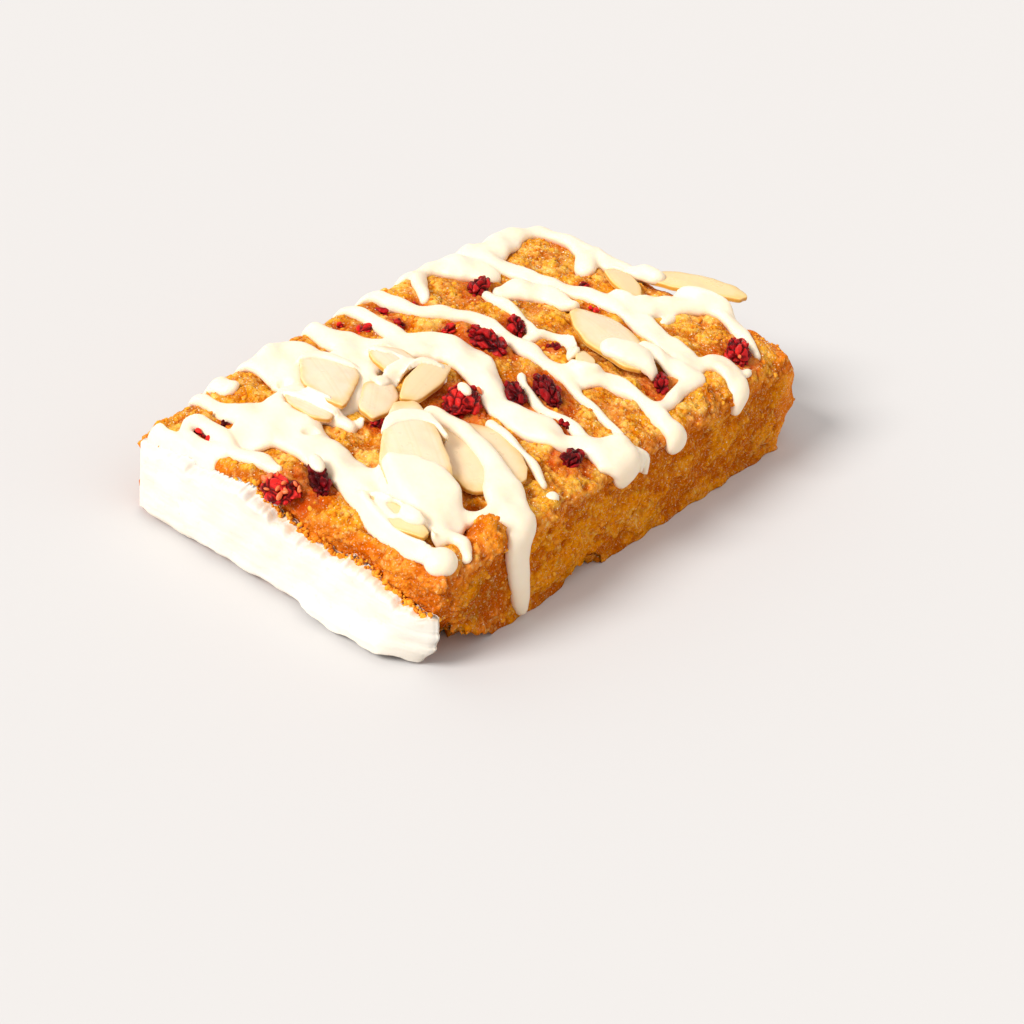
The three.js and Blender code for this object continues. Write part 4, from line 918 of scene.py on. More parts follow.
def crumbForm():
    # the crumb before its relief: sides in rows from foot to rim, the crust as a grid that
    # shares the rim's points, and the underside; with each point come its depth below the rim
    # and its share of the height
    nx, ny = crumb["alongX"], crumb["alongY"]
    ring = rimSteps()
    count = len(ring)
    u, v = 2 * ring[:, 0] / nx - 1, 2 * ring[:, 1] / ny - 1
    top = rimHeight(u, v)
    footX, footY = sidePoint(u, v, np.zeros(count), top)
    low, shoulder = underHeight(footX, footY), top - bar["roundHeight"]
    straight = np.linspace(0, 1, crumb["sideRows"])[:, None]
    rounded = np.linspace(0, 1, crumb["roundRows"] + 1)[1:, None]
    z = np.concatenate([blend(low, shoulder, straight), blend(shoulder, top, rounded)])
    x, y = sidePoint(u[None], v[None], z, top[None])
    sides = placesOf(x, y, z).reshape(-1, 3)
    faces = [gridFaces(len(z), count, closed=True)]

    gridX, gridY = np.meshgrid(np.arange(nx + 1), np.arange(ny + 1), indexing="ij")
    number = np.full(gridX.shape, -1)
    number[ring[:, 0], ring[:, 1]] = len(sides) - count + np.arange(count)
    inner = number < 0
    crust = crustPlaces(2 * gridX / nx - 1, 2 * gridY / ny - 1)[inner]
    number[inner] = len(sides) + np.arange(len(crust))
    corners = [number[:-1, :-1], number[1:, :-1], number[1:, 1:], number[:-1, 1:]]
    faces.append(np.stack(corners, axis=-1).reshape(-1, 4))

    rings, ringFaces = underside(footX, footY, len(sides) + len(crust))
    faces += ringFaces
    points = np.concatenate([sides, crust, *rings])
    number = np.arange(len(points))
    side = number < len(sides)
    onCrust = ~side & (number < len(sides) + len(crust))
    below, upShare = np.zeros(len(points)), np.where(onCrust, 1.0, 0.0)
    below[side], upShare[side] = (top - z).ravel(), (z / top).ravel()
    return points, faces, side, onCrust, below, upShare


def pressDown(points, crust, topShare):
    # lowers the crust under the drizzle and keeps it clear of the flakes
    onTop = np.flatnonzero(topShare > 0)
    beyond = beyondStrands(points[onTop, 0], points[onTop, 1])
    pressed = smooth(0.5 - beyond / crumb["drizzleFade"])
    points[onTop, 2] -= crumb["underDrizzle"] * pressed * topShare[onTop]
    for almond in almonds:
        surface, out = almondSurface(almond, points[:, 0], points[:, 1])
        ceiling = surface - flake["thick"] / 2 - crumb["underFlake"]
        ceiling = ceiling + crumb["flakeRise"] * np.maximum(0, out - 1)
        near = crust & (out < crumb["flakeReach"])
        points[:, 2] = np.where(near, np.minimum(points[:, 2], ceiling), points[:, 2])


def hollowDepth(points, crust):
    # how deep each point of the crust lies in a hollow
    depths = np.zeros(len(points))
    for atX, atY, halfX, halfY, depth in hollows:
        out = np.hypot((points[:, 0] - atX) / halfX, (points[:, 1] - atY) / halfY)
        share = smooth((crumb["hollowEdge"] - out) / crumb["hollowFade"])
        depths = np.maximum(depths, share * depth * crust)
    return depths


def crumbPiece(material):
    # the relief moves each point along its normal, less at the foot and not at all where the
    # underside is flat; returns the surface that loose crumbs and sugar lie on
    points, faces, side, crust, below, upShare = crumbForm()
    normal = pointNormals(points, faces)
    topShare = np.where(crust, 1.0, np.where(side, 1 - smooth(below / crumb["topFade"]), 0.0))
    crusted = smooth((points[:, 0] - zones["endX"]) / zones["endWidth"])
    fine, tag, torn = crumbRelief(points, topShare)
    fine = fine * (1 - zones["endSmooth"] * crusted)
    setBack = crumb["setBack"] + np.where(side & (below > crumb["sideFrom"]), crumb["sideSetBack"], 0.0)
    flat = ~side & ~crust & (points[:, 2] < 0.05)
    amount = (broadRelief(points) + fine - setBack) * np.where(flat, 0.0, 1.0)
    nugget, rise = nuggetShare(points)
    jagged = 0.25 + 1.3 * np.abs(roughNoise(points, size=1.7, seed=261, octaves=3, gain=0.6))
    amount = amount + rise * topShare * jagged
    shift = normal * amount[:, None]
    shift[:, 2] = np.where(points[:, 2] < 0.3, 0, shift[:, 2])
    footShare = np.maximum(smooth(points[:, 2] / crumb["footFade"]), crumb["footLeast"])
    moved = points + shift * np.where(side, footShare, 1.0)[:, None]
    moved[:, 2] = np.maximum(moved[:, 2], 0)
    pressDown(moved, crust, topShare)
    moved[:, 0] += endShift(points[:, 0], upShare)
    hollowAndShade = hollowDepth(moved, crust)
    moved[:, 2] -= hollowAndShade

    # where the relief dips and in the hollow the crumb is painted darker: painted shade in the recesses
    cavityShade = np.clip((fine - blend(0.22, 0.42, topShare)) / 0.4 - hollowAndShade, -1, 1)
    values = dict(topShare=topShare, cavityShade=cavityShade, pebbleTag=tag, torn=torn,
                  baked=bakedShare(points, below, side), crusted=crusted, nugget=nugget * topShare,
                  # the brown patch is the crumb's own colour; the same colour laid into the hollow is
                  # painted shade
                  oliveAndHollowShade=np.maximum(oliveShare(points, side), smooth(hollowAndShade)),
                  berryShade=berryShadeAt(points[:, 0], points[:, 1]) * topShare)
    piece = putMesh("crumbBody", moved, faces, material, values)
    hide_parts("blondie")
    return dict(points=moved, normals=pointNormals(moved, faces), crust=crust, side=side)


# the coat on the short side

coat = dict(
    thick=1.45, bulge=0.75, rough=0.25, bottom=0.7, front=-27.2, back=26.4, apart=0.3,
    footDepth=2.7, footHeight=5, footFrom=-25, footFromLength=6, footTo=-3, footToLength=8,
    topUnder=1.5, topFront=8.3, topMiddle=10.5, dipAt=-13, dipLength=11, riseAt=-3, riseLength=9,
    ragged=1.2, endRagged=0.75, smear=0.08, footRagged=0.8,
    endCut=2.2, endHeight=3.4, crumbEdge=1.2, nubs=0.18, nubDepth=2.2, crumbyTo=13, crumbyFade=12,
    rows=330, levels=84, buried=0.7, sunk=0.45, outShare=0.93,
)
coatFeather = dict(top=0.9, bottom=1.5, front=6.5, back=3.0)  # how wide each edge thins out over


def coatTopAt(y):
    # low towards the front, up to the crust's edge at the back
    toFront = blend(coat["topMiddle"], coat["topFront"], smooth((coat["dipAt"] - y) / coat["dipLength"]))
    behind = crustHeight(bar["left"] + 1, y) - coat["topUnder"]
    rise = smooth((y - coat["riseAt"]) / coat["riseLength"])
    return np.minimum(behind, toFront + (behind - toFront) * rise)


def coatEdgeAt(y):
    # the coat's ragged upper edge
    ragged = roughNoise(placesOf(y, 3.0, 0.0), size=3.4, seed=201, octaves=4, gain=0.62)
    return coatTopAt(y) + coat["ragged"] * ragged


def crumbyShare(y):
    # crumbs and bare patches line the coat's edge except towards the back
    return smooth((coat["crumbyTo"] - y) / coat["crumbyFade"])


def coatSheet():
    # the outer sheet, row by row from the front end to the back: its thickness swells as the
    # square root of a parabola from each edge, and the edges sink just into the crumb
    steps = [np.linspace(0, 1, coat[name]) for name in ("rows", "levels")]
    along, up = np.meshgrid(*steps, indexing="ij")
    guess = coat["front"] + along * (coat["back"] - coat["front"])  # y before the front end is cut
    top = coatEdgeAt(guess)
    wavy = roughNoise(placesOf(guess, 3.0, 0.0), size=3.5, seed=205, octaves=3)
    bottom = coat["bottom"] * (1 + coat["footRagged"] * wavy)
    z = bottom + up * (top - bottom)
    torn = roughNoise(placesOf(z, 8.0, 0.0), size=3.4, seed=207, octaves=4, gain=0.6)
    cut = coat["endCut"] * smooth(1 - z / coat["endHeight"]) + coat["endRagged"] * (torn + 0.6)
    frontEnd = coat["front"] + np.maximum(cut, 0)
    y = frontEnd + along * (coat["back"] - frontEnd)
    ramp = np.clip(np.minimum.reduce([
        (top - z) / coatFeather["top"], (z - bottom) / coatFeather["bottom"] + 0.2,
        (y - frontEnd) / coatFeather["front"], (coat["back"] - y) / coatFeather["back"],
    ]), 0, 1)
    rounded = np.sqrt(np.maximum(1 - (1 - ramp) ** 2, 0))
    footAlong = smooth((y - coat["footFrom"]) / coat["footFromLength"])
    footAlong = footAlong * smooth((coat["footTo"] - y) / coat["footToLength"])
    foot = coat["footDepth"] * smooth(1 - z / coat["footHeight"]) * footAlong
    swell = coat["thick"] + coat["bulge"] * np.sin(math.pi * along)
    swell = swell + coat["rough"] * unevenness(0, y, z)
    # smears that run lengthways, so their noise is stretched along y
    strokes = roughNoise(placesOf(0.6 * y, 1.6 * z, 0.0), size=3.0, seed=211, octaves=4, gain=0.55)
    strokes = strokes + 0.6 * roughNoise(placesOf(0.35 * y, 2.2 * z, 0.0), size=2.6, seed=215, octaves=3)
    nubs = coat["nubs"] * roughNoise(placesOf(y, z, 0.0), size=0.9, seed=219, octaves=3)
    thickness = blend(-coat["sunk"], coat["apart"] + (swell + foot) * coat["outShare"], rounded)
    thickness = thickness + coat["smear"] * strokes * smooth(2 * ramp)
    thickness = thickness + nubs * smooth((coat["nubDepth"] - top + z) / coat["nubDepth"])
    thin = (1 - np.clip((top - z) / coat["crumbEdge"], 0, 1)) * crumbyShare(y)
    return placesOf(bar["left"] - thickness, y, z), strokes, thin


def coatPiece(material):
    # the outer sheet and a flat one inside the crumb, joined at their rim
    outer, strokes, thin = coatSheet()
    rows, levels = strokes.shape
    count = rows * levels
    inner = outer.copy()
    inner[..., 0] = bar["left"] + coat["buried"]
    points = np.concatenate([outer.reshape(-1, 3), inner.reshape(-1, 3)])
    values = dict(stroke=np.concatenate([strokes.ravel(), np.zeros(count)]),
                  thin=np.concatenate([thin.ravel(), np.ones(count)]))
    grid = gridFaces(rows, levels)
    number = np.arange(count).reshape(rows, levels)
    rim = np.concatenate([number[:-1, 0], number[-1, :-1], number[:0:-1, -1], number[0, :0:-1]])
    following = np.roll(rim, -1)
    skirt = np.stack([rim + count, following + count, following, rim], axis=1)
    piece = putMesh("whiteCoat", points, [grid, grid[:, ::-1] + count, skirt], material, values)
    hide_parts("white_coat")


# raspberry pieces

berry = dict(drupelet=1.4, stretch=0.5, crease=0.5, creaseWidth=0.42, bend=0.35, lump=0.26, fine=0.16,
             sunken=0.45, detail=5, bitHeight=0.95, bitDetail=3)
berries = [  # plan place, half sizes, turn, lift of the centre, how bright and how seedy
    ((-42, 1), (3.9, 3.1, 1.8), 60, 0.2, 0.9, 1.0), ((-37.4, -1.2), (4.4, 2, 2.3), 55, 0.5, 0, 0),
    ((-9.2, -2.9), (5, 3.5, 2.4), 30, 0.4, 0.75, 0.15), ((-1.9, -6.9), (3.5, 1.9, 2.1), 52, 0.2, 0.1, 0),
    ((2, -9.6), (5.6, 2.5, 2.3), 55, 0.4, 0.18, 0), ((5.9, 4.8), (5, 2.2, 2.3), 78, 0.4, 0.45, 0.1),
    ((-8.8, -22.2), (3, 2.1, 1.8), 25, 0.2, 0.2, 0), ((34, -21.8), (4, 2.9, 2.3), 40, 0.5, 0.6, 0.1),
    ((17.2, -19), (3.2, 1.8, 1.9), 35, 0.2, 0.3, 0), ((13.2, 4.6), (3.4, 1.9, 2), 45, 0.3, 0.6, 0.1),
    ((18.2, 16), (3.3, 2.2, 2), 20, 0.3, 0.4, 0),
]
berryCrumbs = [  # plan place and half sizes of the loose bits of raspberry
    (-38.6, 18.8, 0.7, 2.3), (-35.1, 18, 0.9, 0.8), (-21.9, 1.8, 1.4, 1.2), (-3.9, 19.8, 1.9, 1.6),
    (-5.5, 23.2, 0.6, 1.3), (2.2, 22.4, 1.3, 1.9), (1.2, 17.6, 1.2, 1.8), (7.2, 19, 1.2, 2),
    (26.9, 0.5, 1.1, 1.5), (13.1, -2.4, 1.3, 1.4), (31.9, 6, 1.1, 1), (6, 11.3, 2.4, 1.2),
    (-2.8, -16.2, 0.8, 1.8), (19.8, -17.8, 0.8, 1.3),
]


def berryForm(place, half, turn, centreZ, seed, detail):
    # an ellipsoid with a lumpy outline; cells stretched lengthways are the drupelets, deep
    # creases run between them and fine wrinkles lie over all
    direction, faces = ball(detail)
    half = np.array(half, dtype=float)
    normal = direction / half
    normal /= np.linalg.norm(normal, axis=1, keepdims=True)
    swelling = roughNoise(direction + seed * 7.3, size=0.9, seed=301, octaves=3)
    lumpy = 1 - berry["lump"] * (0.5 + 0.5 * swelling)
    local = direction * half * lumpy[:, None]
    size = min(berry["drupelet"], 0.8 * half[1])
    warp = np.stack([valueNoise(local + seed, size=1.2, seed=311 + k) for k in range(3)], axis=-1)
    bent = local + berry["bend"] * warp
    near, second, tag = cellNoise(bent * [berry["stretch"], 1, 1] + seed * 31.0, size=size, seed=321)
    ridge = smooth((second - near) / berry["creaseWidth"])
    wrinkle = roughNoise(local + seed, size=0.55, seed=331, octaves=2)
    crease = berry["crease"] * (1 - ridge) * min(1, half[1] / 1.8)
    depth = crease - berry["fine"] * wrinkle + berry["sunken"] * smooth((0.5 - tag) / 0.4)
    local = local - normal * np.maximum(depth, -0.05)[:, None]
    x, y = turned(local[:, 0], local[:, 1], turn)
    points = placesOf(place[0] + x, place[1] + y, centreZ + local[:, 2])
    return points, faces, 1 - ridge, tag


def raspberryPiece(index, spec, material):
    place, half, turn, lift, bright, _ = spec
    centreZ = crustHeight(*place) + lift
    points, faces, crease, tag = berryForm(place, half, turn, centreZ, index, berry["detail"])
    # the creases' share, where the pieces are painted dark as painted shade
    values = dict(creviceShade=crease, beadTone=tag, pieceTone=np.full(len(points), bright))
    piece = putMesh(f"raspberryPiece{index}", points, [faces], material, values)
    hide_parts(f"raspberry_piece_{index}")


def berryCrumbPiece(material):
    forms = []
    for k, (x, y, halfX, halfY) in enumerate(berryCrumbs):
        z = surfaceHeight(np.array([float(x)]), np.array([float(y)]))[0]
        half = (halfX, halfY, berry["bitHeight"])
        forms.append(berryForm((x, y), half, 0, z, 40 + k, berry["bitDetail"]))
    points, faces, crease, tone = (list(part) for part in zip(*forms))
    faces = [face + k * len(points[0]) for k, face in enumerate(faces)]
    own = latticeHash(np.array([[k, 4, 4] for k in range(len(forms))]), 6)
    values = dict(creviceShade=np.concatenate(crease), beadTone=np.concatenate(tone),
                  pieceTone=np.repeat(own, len(points[0])))
    piece = putMesh("raspberryCrumbs", np.concatenate(points), faces, material, values)
    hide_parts("blondie")


def turnedShapes(shape, shapeFaces, centres, sizes, rng):
    # copies of one small shape at the centres, each turned by its own random rotation
    count = len(centres)
    spin = np.linalg.qr(rng.normal(size=(count, 3, 3)))[0]
    spin *= np.where(np.linalg.det(spin) < 0, -1, 1)[:, None, None]
    points = np.einsum("nij,vj->nvi", spin, shape) * np.asarray(sizes).reshape(count, 1, -1)
    points = points + centres[:, None]
    faces = shapeFaces[None] + (np.arange(count) * len(shape))[:, None, None]
    return points.reshape(-1, 3), faces.reshape(-1, shapeFaces.shape[1])


seedPlan = dict(most=14, area=12, half=(0.66, 0.38, 0.28), sizes=(0.6, 1.1), depth=0.82)


def berrySeedPiece(material):
    # pale seeds set in the upper skin of the raspberry pieces
    rng = np.random.default_rng(23)
    centres = []
    for (atX, atY), half, turn, lift, _, seedy in berries:
        count = int(seedPlan["most"] * seedy * half[0] * half[1] / seedPlan["area"])
        direction = rng.normal(size=(count, 3))
        direction[:, 2] = np.abs(direction[:, 2]) + 0.25
        direction /= np.linalg.norm(direction, axis=1, keepdims=True)
        local = direction * np.array(half) * seedPlan["depth"]
        x, y = turned(local[:, 0], local[:, 1], turn)
        centres.append(placesOf(atX + x, atY + y, crustHeight(atX, atY) + lift + local[:, 2]))
    centres = np.concatenate(centres)
    shape, faces = ball(2)
    points, faces = turnedShapes(shape * seedPlan["half"], faces, centres,
                                 rng.uniform(*seedPlan["sizes"], len(centres)), rng)
    piece = putMesh("raspberrySeeds", points, [faces], material)


# loose crumbs and sugar

scatter = dict(
    crumbsOnTop=640, crumbsOnSides=420, crumbsAlongCoat=340, crumbSize=(0.14, 0.5), crumbSkew=2.6,
    sugarOnTop=1100, sugarOnSides=260, sugarSize=(0.04, 0.1), sunk=0.06, lowest=1.2, fromRim=0.3,
    fromStrand=0.25, flakeReach=1.3, berryReach=0.85, hollowReach=1.2, coatSpread=0.35, coatOut=0.5,
)


def surfaceHeight(x, y):
    # the crust without its fine relief
    z = craggyHeight(x, y) - rimFall(x, y)
    return z + broadRelief(placesOf(x, y, z))


def coveredAt(x, y):
    # true under a strand, a flake or a raspberry piece and in a hollow
    covered = beyondStrands(x, y) < scatter["fromStrand"]
    for almond in almonds:
        covered |= almondSurface(almond, x, y)[1] < scatter["flakeReach"]
    for (atX, atY), half, *_ in berries:
        covered |= np.hypot(x - atX, y - atY) < scatter["berryReach"] * half[0]
    for atX, atY, halfX, halfY, _ in hollows:
        covered |= np.hypot((x - atX) / halfX, (y - atY) / halfY) < scatter["hollowReach"]
    return covered


def placesOn(surface, where, rng, count):
    # random points of the crumb's own surface, let into it by a fixed depth
    picked = rng.choice(np.flatnonzero(where), count, replace=False)
    return surface["points"][picked] - scatter["sunk"] * surface["normals"][picked]


def placesAlongCoat(rng, count):
    # crumbs of the crust that stick out along the coat's upper edge
    y = rng.uniform(coat["front"] + 1, coat["back"] - 1, 2 * count)
    y = y[rng.uniform(0, 1, len(y)) < crumbyShare(y)][:count]
    count = len(y)
    z = coatEdgeAt(y) + rng.normal(0, scatter["coatSpread"], count)
    v = 2 * (y - bar["front"]) / (bar["back"] - bar["front"]) - 1
    u = np.full(count, -1.0)
    x, y = sidePoint(u, v, z, rimHeight(u, v))
    return placesOf(x - rng.uniform(0, scatter["coatOut"], count), y, z)


def loosePieces(surface, crumbMaterial, sugarMaterial):
    rng = np.random.default_rng(11)
    x, y, z = surface["points"].T
    bareTop = surface["crust"] & (insideRim(x, y) > scatter["fromRim"]) & ~coveredAt(x, y)
    awayFromCoat = surface["normals"][:, 0] > -0.6
    bareSide = surface["side"] & (z > scatter["lowest"]) & awayFromCoat
    shape, faces = ball(1)
    shape = shape * (1 + 0.5 * roughNoise(shape, size=0.7, seed=501, octaves=2))[:, None] * [1.0, 0.85, 0.7]
    centres = np.concatenate([placesOn(surface, bareTop, rng, scatter["crumbsOnTop"]),
                              placesOn(surface, bareSide, rng, scatter["crumbsOnSides"]),
                              placesAlongCoat(rng, scatter["crumbsAlongCoat"])])
    low, high = scatter["crumbSize"]
    sizes = blend(low, high, rng.uniform(0, 1, len(centres)) ** scatter["crumbSkew"])
    points, joined = turnedShapes(shape, faces, centres, sizes, rng)
    tone = np.repeat(rng.uniform(0, 1, len(centres)), len(shape))
    piece = putMesh("looseCrumbs", points, [joined], crumbMaterial, dict(crumbTone=tone))
    corners = np.array(list(product((-1.0, 1.0), repeat=3)))
    cube = np.array([(0, 1, 3, 2), (4, 6, 7, 5), (0, 4, 5, 1), (2, 3, 7, 6), (0, 2, 6, 4), (1, 5, 7, 3)])
    centres = np.concatenate([placesOn(surface, bareTop, rng, scatter["sugarOnTop"]),
                              placesOn(surface, bareSide, rng, scatter["sugarOnSides"])])
    sizes = rng.uniform(*scatter["sugarSize"], len(centres))
    points, joined = turnedShapes(corners, cube, centres, sizes, rng)
    piece = putMesh("sugarGrains", points, [joined], sugarMaterial)
    piece.data.polygons.foreach_set("use_smooth", np.zeros(len(piece.data.polygons), dtype=bool))


# materials

def shade(red, green, blue):
    # a screen colour from 0 to 255 as linear light
    return tuple(((c / 255 + 0.055) / 1.055) ** 2.4 if c > 10 else c / 255 / 12.92
                 for c in (red, green, blue)) + (1.0,)


def newMaterial(name, **settings):
    # the settings are inputs of the shader, written with _ for a space
    material = bpy.data.materials.new(name)
    material.use_nodes = True
    shader = material.node_tree.nodes["Principled BSDF"]
    for key, value in settings.items():
        shader.inputs[key.replace("_", " ")].default_value = value
    return material, material.node_tree, shader


def connect(tree, shader, **results):
    for key, result in results.items():
        tree.links.new(result, shader.inputs[key.replace("_", " ")])


def addNode(tree, kind, inputs=None, **settings):
    # an input is a fixed value or another node's result
    node = tree.nodes.new(kind)
    for key, value in settings.items():
        setattr(node, key, value)
    for key, value in (inputs or {}).items():
        if isinstance(value, bpy.types.NodeSocket):
            tree.links.new(value, node.inputs[key])
        else:
            node.inputs[key].default_value = value
    return node


def fieldOf(tree, name):
    # what putMesh has stored at the vertices under this name
    return addNode(tree, "ShaderNodeAttribute", attribute_name=name).outputs["Fac"]


def remap(tree, value, low, high, toLow=0.0, toHigh=1.0):
    node = addNode(tree, "ShaderNodeMapRange", {"Value": value, "From Min": low, "From Max": high,
                                                "To Min": toLow, "To Max": toHigh})
    node.clamp = True
    return node.outputs["Result"]


def mixColour(tree, share, *colours):
    # the first colour where the share is 0 and the second where it is 1; each is a screen
    # colour or another node's result
    first, second = [shade(*value) if isinstance(value, tuple) else value for value in colours]
    return addNode(tree, "ShaderNodeMix", {0: share, 6: first, 7: second}, data_type="RGBA",
                   blend_type="MIX").outputs[2]


def layered(tree, base, layers):
    for share, colour in layers:
        base = mixColour(tree, share, base, colour)
    return base


def calculate(tree, how, first, second):
    return addNode(tree, "ShaderNodeMath", {0: first, 1: second}, operation=how).outputs[0]


def times(tree, first, second):
    return calculate(tree, "MULTIPLY", first, second)


def noiseOf(tree, sizeMm, detail=3.0, roughness=0.55):
    place = addNode(tree, "ShaderNodeTexCoord").outputs["Object"]
    return addNode(tree, "ShaderNodeTexNoise", {"Vector": place, "Scale": 1 / (sizeMm * mm),
                                                "Detail": detail, "Roughness": roughness}).outputs["Fac"]


def cellsOf(tree, sizeMm):
    # the distance to the nearest of points strewn about sizeMm apart, in cells
    place = addNode(tree, "ShaderNodeTexCoord").outputs["Object"]
    return addNode(tree, "ShaderNodeTexVoronoi", {"Vector": place, "Scale": 1 / (sizeMm * mm)},
                   feature="F1").outputs["Distance"]


def bumpFrom(tree, shader, height, depthMm, strength=1.0):
    bump = addNode(tree, "ShaderNodeBump", {"Height": height, "Distance": depthMm * mm,
                                            "Strength": strength})
    connect(tree, shader, Normal=bump.outputs["Normal"])


# the crumb's screen colours; the darker ones laid into the cracks, the dips, the hollow and between the
# grains are painted shade, and the red one round the raspberries is painted reddish shade
crumbColours = dict(
    cut=((244, 142, 4), (250, 158, 20)), cutGrain=(250, 176, 56),
    crust=((244, 156, 10), (253, 192, 66)), crustGrain=(252, 196, 90),
    glazed=(253, 204, 110), farEnd=(252, 156, 44), baked=((238, 104, 6), (250, 148, 50)),
    oliveAndHollowShade=(180, 106, 12), lump=(250, 150, 16), torn=(200, 96, 2), hollowAndShade=(188, 78, 0),
    pale=(255, 216, 134), deep=(220, 104, 0), shadeBetweenGrains=(206, 90, 0), glint=(255, 232, 190),
    berryShade=(196, 44, 8),
)


def crumbFinish():
    material, tree, shader = newMaterial(
        "goldenCrumb", Roughness=0.5, Subsurface_Weight=0.12, Subsurface_Scale=0.0012,
        Subsurface_Radius=(1.0, 0.45, 0.12))
    tones = crumbColours
    top, cavityShade, tag = fieldOf(tree, "topShare"), fieldOf(tree, "cavityShade"), fieldOf(tree, "pebbleTag")
    torn, baked, oliveAndHollowShade = fieldOf(tree, "torn"), fieldOf(tree, "baked"), fieldOf(tree, "oliveAndHollowShade")
    berryShade, nugget, crusted = fieldOf(tree, "berryShade"), fieldOf(tree, "nugget"), fieldOf(tree, "crusted")
    broad, fine, grit = noiseOf(tree, 6), noiseOf(tree, 0.8, detail=4), noiseOf(tree, 0.28, detail=2)
    grain = cellsOf(tree, 0.7)
    glazed = times(tree, remap(tree, noiseOf(tree, 4.2, detail=3, roughness=0.6), 0.5, 0.58), top)
    sleek = calculate(tree, "MAXIMUM", times(tree, glazed, 0.6), times(tree, crusted, 0.75))
    # darker between the grains of the crumb, less on the smooth crust: painted shade in the gaps
    grainGapShade = times(tree, remap(tree, grain, 0.45, 0.8, 0, 0.55), remap(tree, sleek, 0, 1, 1, 0.2))
    cut = mixColour(tree, remap(tree, broad, 0.35, 0.65), *tones["cut"])
    cut = mixColour(tree, remap(tree, tag, 0.6, 1, 0, 0.7), cut, tones["cutGrain"])
    crust = mixColour(tree, remap(tree, broad, 0.3, 0.7), *tones["crust"])
    crust = mixColour(tree, remap(tree, tag, 0.5, 1, 0, 0.8), crust, tones["crustGrain"])
    orange = mixColour(tree, remap(tree, broad, 0.35, 0.65), *tones["baked"])
    base = layered(tree, mixColour(tree, top, cut, crust), [
        (times(tree, glazed, 0.6), tones["glazed"]),
        (times(tree, crusted, 0.8), tones["farEnd"]),
        (times(tree, baked, 0.75), orange),
        # the brown patch, and painted shade in the hollow
        (times(tree, oliveAndHollowShade, 0.85), tones["oliveAndHollowShade"]),
        (times(tree, nugget, 0.6), tones["lump"]),
        # painted shade in the cracks and pits
        (remap(tree, torn, 0, 1, 0, 0.4), tones["torn"]),
        # painted shade in the dips of the relief and in the hollow
        (remap(tree, cavityShade, 0.0, -0.9, 0, 0.75), tones["hollowAndShade"]),
        (remap(tree, fine, 0.56, 0.74, 0, 0.6), tones["pale"]),
        (remap(tree, fine, 0.44, 0.26, 0, 0.5), tones["deep"]),
        # painted shade between the grains
        (grainGapShade, tones["shadeBetweenGrains"]),
        (remap(tree, grit, 0.62, 0.72, 0, 0.6), tones["glint"]),
        # painted reddish shade under and beside the raspberries
        (times(tree, berryShade, 0.6), tones["berryShade"]),
    ])
    connect(tree, shader, Base_Color=base, Roughness=remap(tree, fine, 0.3, 0.8, 0.3, 0.65),
            Specular_IOR_Level=remap(tree, grit, 0.56, 0.68, 0.0, 0.55))
    grains = times(tree, grain, remap(tree, top, 0, 1, -1.2, -0.8))
    height = calculate(tree, "ADD", grains, noiseOf(tree, 0.35, detail=4, roughness=0.65))
    bumpFrom(tree, shader, times(tree, height, remap(tree, sleek, 0, 1, 1, 0.1)), 0.42)
    return material


looseCrumbColours = dict(dark=(214, 112, 6), light=(246, 168, 44), speck=(252, 200, 104))


def looseCrumbFinish():
    material, tree, shader = newMaterial(
        "looseCrumb", Roughness=0.6, Subsurface_Weight=0.1, Subsurface_Scale=0.001,
        Subsurface_Radius=(1.0, 0.45, 0.12), Specular_IOR_Level=0.08)
    tones = looseCrumbColours
    base = mixColour(tree, fieldOf(tree, "crumbTone"), tones["dark"], tones["light"])
    specks = remap(tree, noiseOf(tree, 0.4, detail=3), 0.5, 0.75, 0, 0.5)
    connect(tree, shader, Base_Color=mixColour(tree, specks, base, tones["speck"]))
    bumpFrom(tree, shader, noiseOf(tree, 0.25, detail=3), 0.08, 0.8)
    return material


sugarColours = ((255, 236, 200), (244, 196, 128))


def sugarFinish():
    material, tree, shader = newMaterial(
        "sugarGrain", Roughness=0.12, Subsurface_Weight=0.4, Subsurface_Scale=0.0006,
        Subsurface_Radius=(1.0, 0.7, 0.4), Specular_IOR_Level=0.6)
    connect(tree, shader, Base_Color=mixColour(tree, noiseOf(tree, 1.2, detail=2), *sugarColours))
    return material


seedColours = ((226, 80, 40), (242, 138, 74))


def seedFinish():
    material, tree, shader = newMaterial(
        "raspberrySeed", Roughness=0.4, Subsurface_Weight=0.15, Subsurface_Scale=0.0006,
        Subsurface_Radius=(1.0, 0.5, 0.25), Specular_IOR_Level=0.45)
    connect(tree, shader, Base_Color=mixColour(tree, noiseOf(tree, 0.9, detail=3), *seedColours))
    bumpFrom(tree, shader, noiseOf(tree, 0.2, detail=3), 0.04, 0.6)
    return material


chocolateColours = dict(broad=((249, 226, 196), (250, 231, 206)), pale=(251, 233, 211))


def chocolateFinish():
    material, tree, shader = newMaterial(
        "whiteChocolate", Roughness=0.42, Subsurface_Weight=0.35, Subsurface_Scale=0.0016,
        Subsurface_Radius=(1.0, 0.75, 0.4), Specular_IOR_Level=0.4)
    broad, fine = noiseOf(tree, 5), noiseOf(tree, 0.9, detail=3)
    base = mixColour(tree, remap(tree, broad, 0.35, 0.65), *chocolateColours["broad"])
    base = mixColour(tree, remap(tree, fine, 0.3, 0.7, 0, 0.3), base, chocolateColours["pale"])
    connect(tree, shader, Base_Color=base, Roughness=remap(tree, fine, 0.3, 0.7, 0.36, 0.5))
    bumpFrom(tree, shader, noiseOf(tree, 0.8, detail=3), 0.05, 0.5)
    return material


# the darker cream laid into the smears' grooves is painted shade
coatColours = dict(broad=((228, 219, 205), (233, 226, 216)), grooveShade=(224, 204, 180),
                   fleck=(226, 204, 172), crumby=(240, 170, 80), crumbMark=(240, 170, 90))


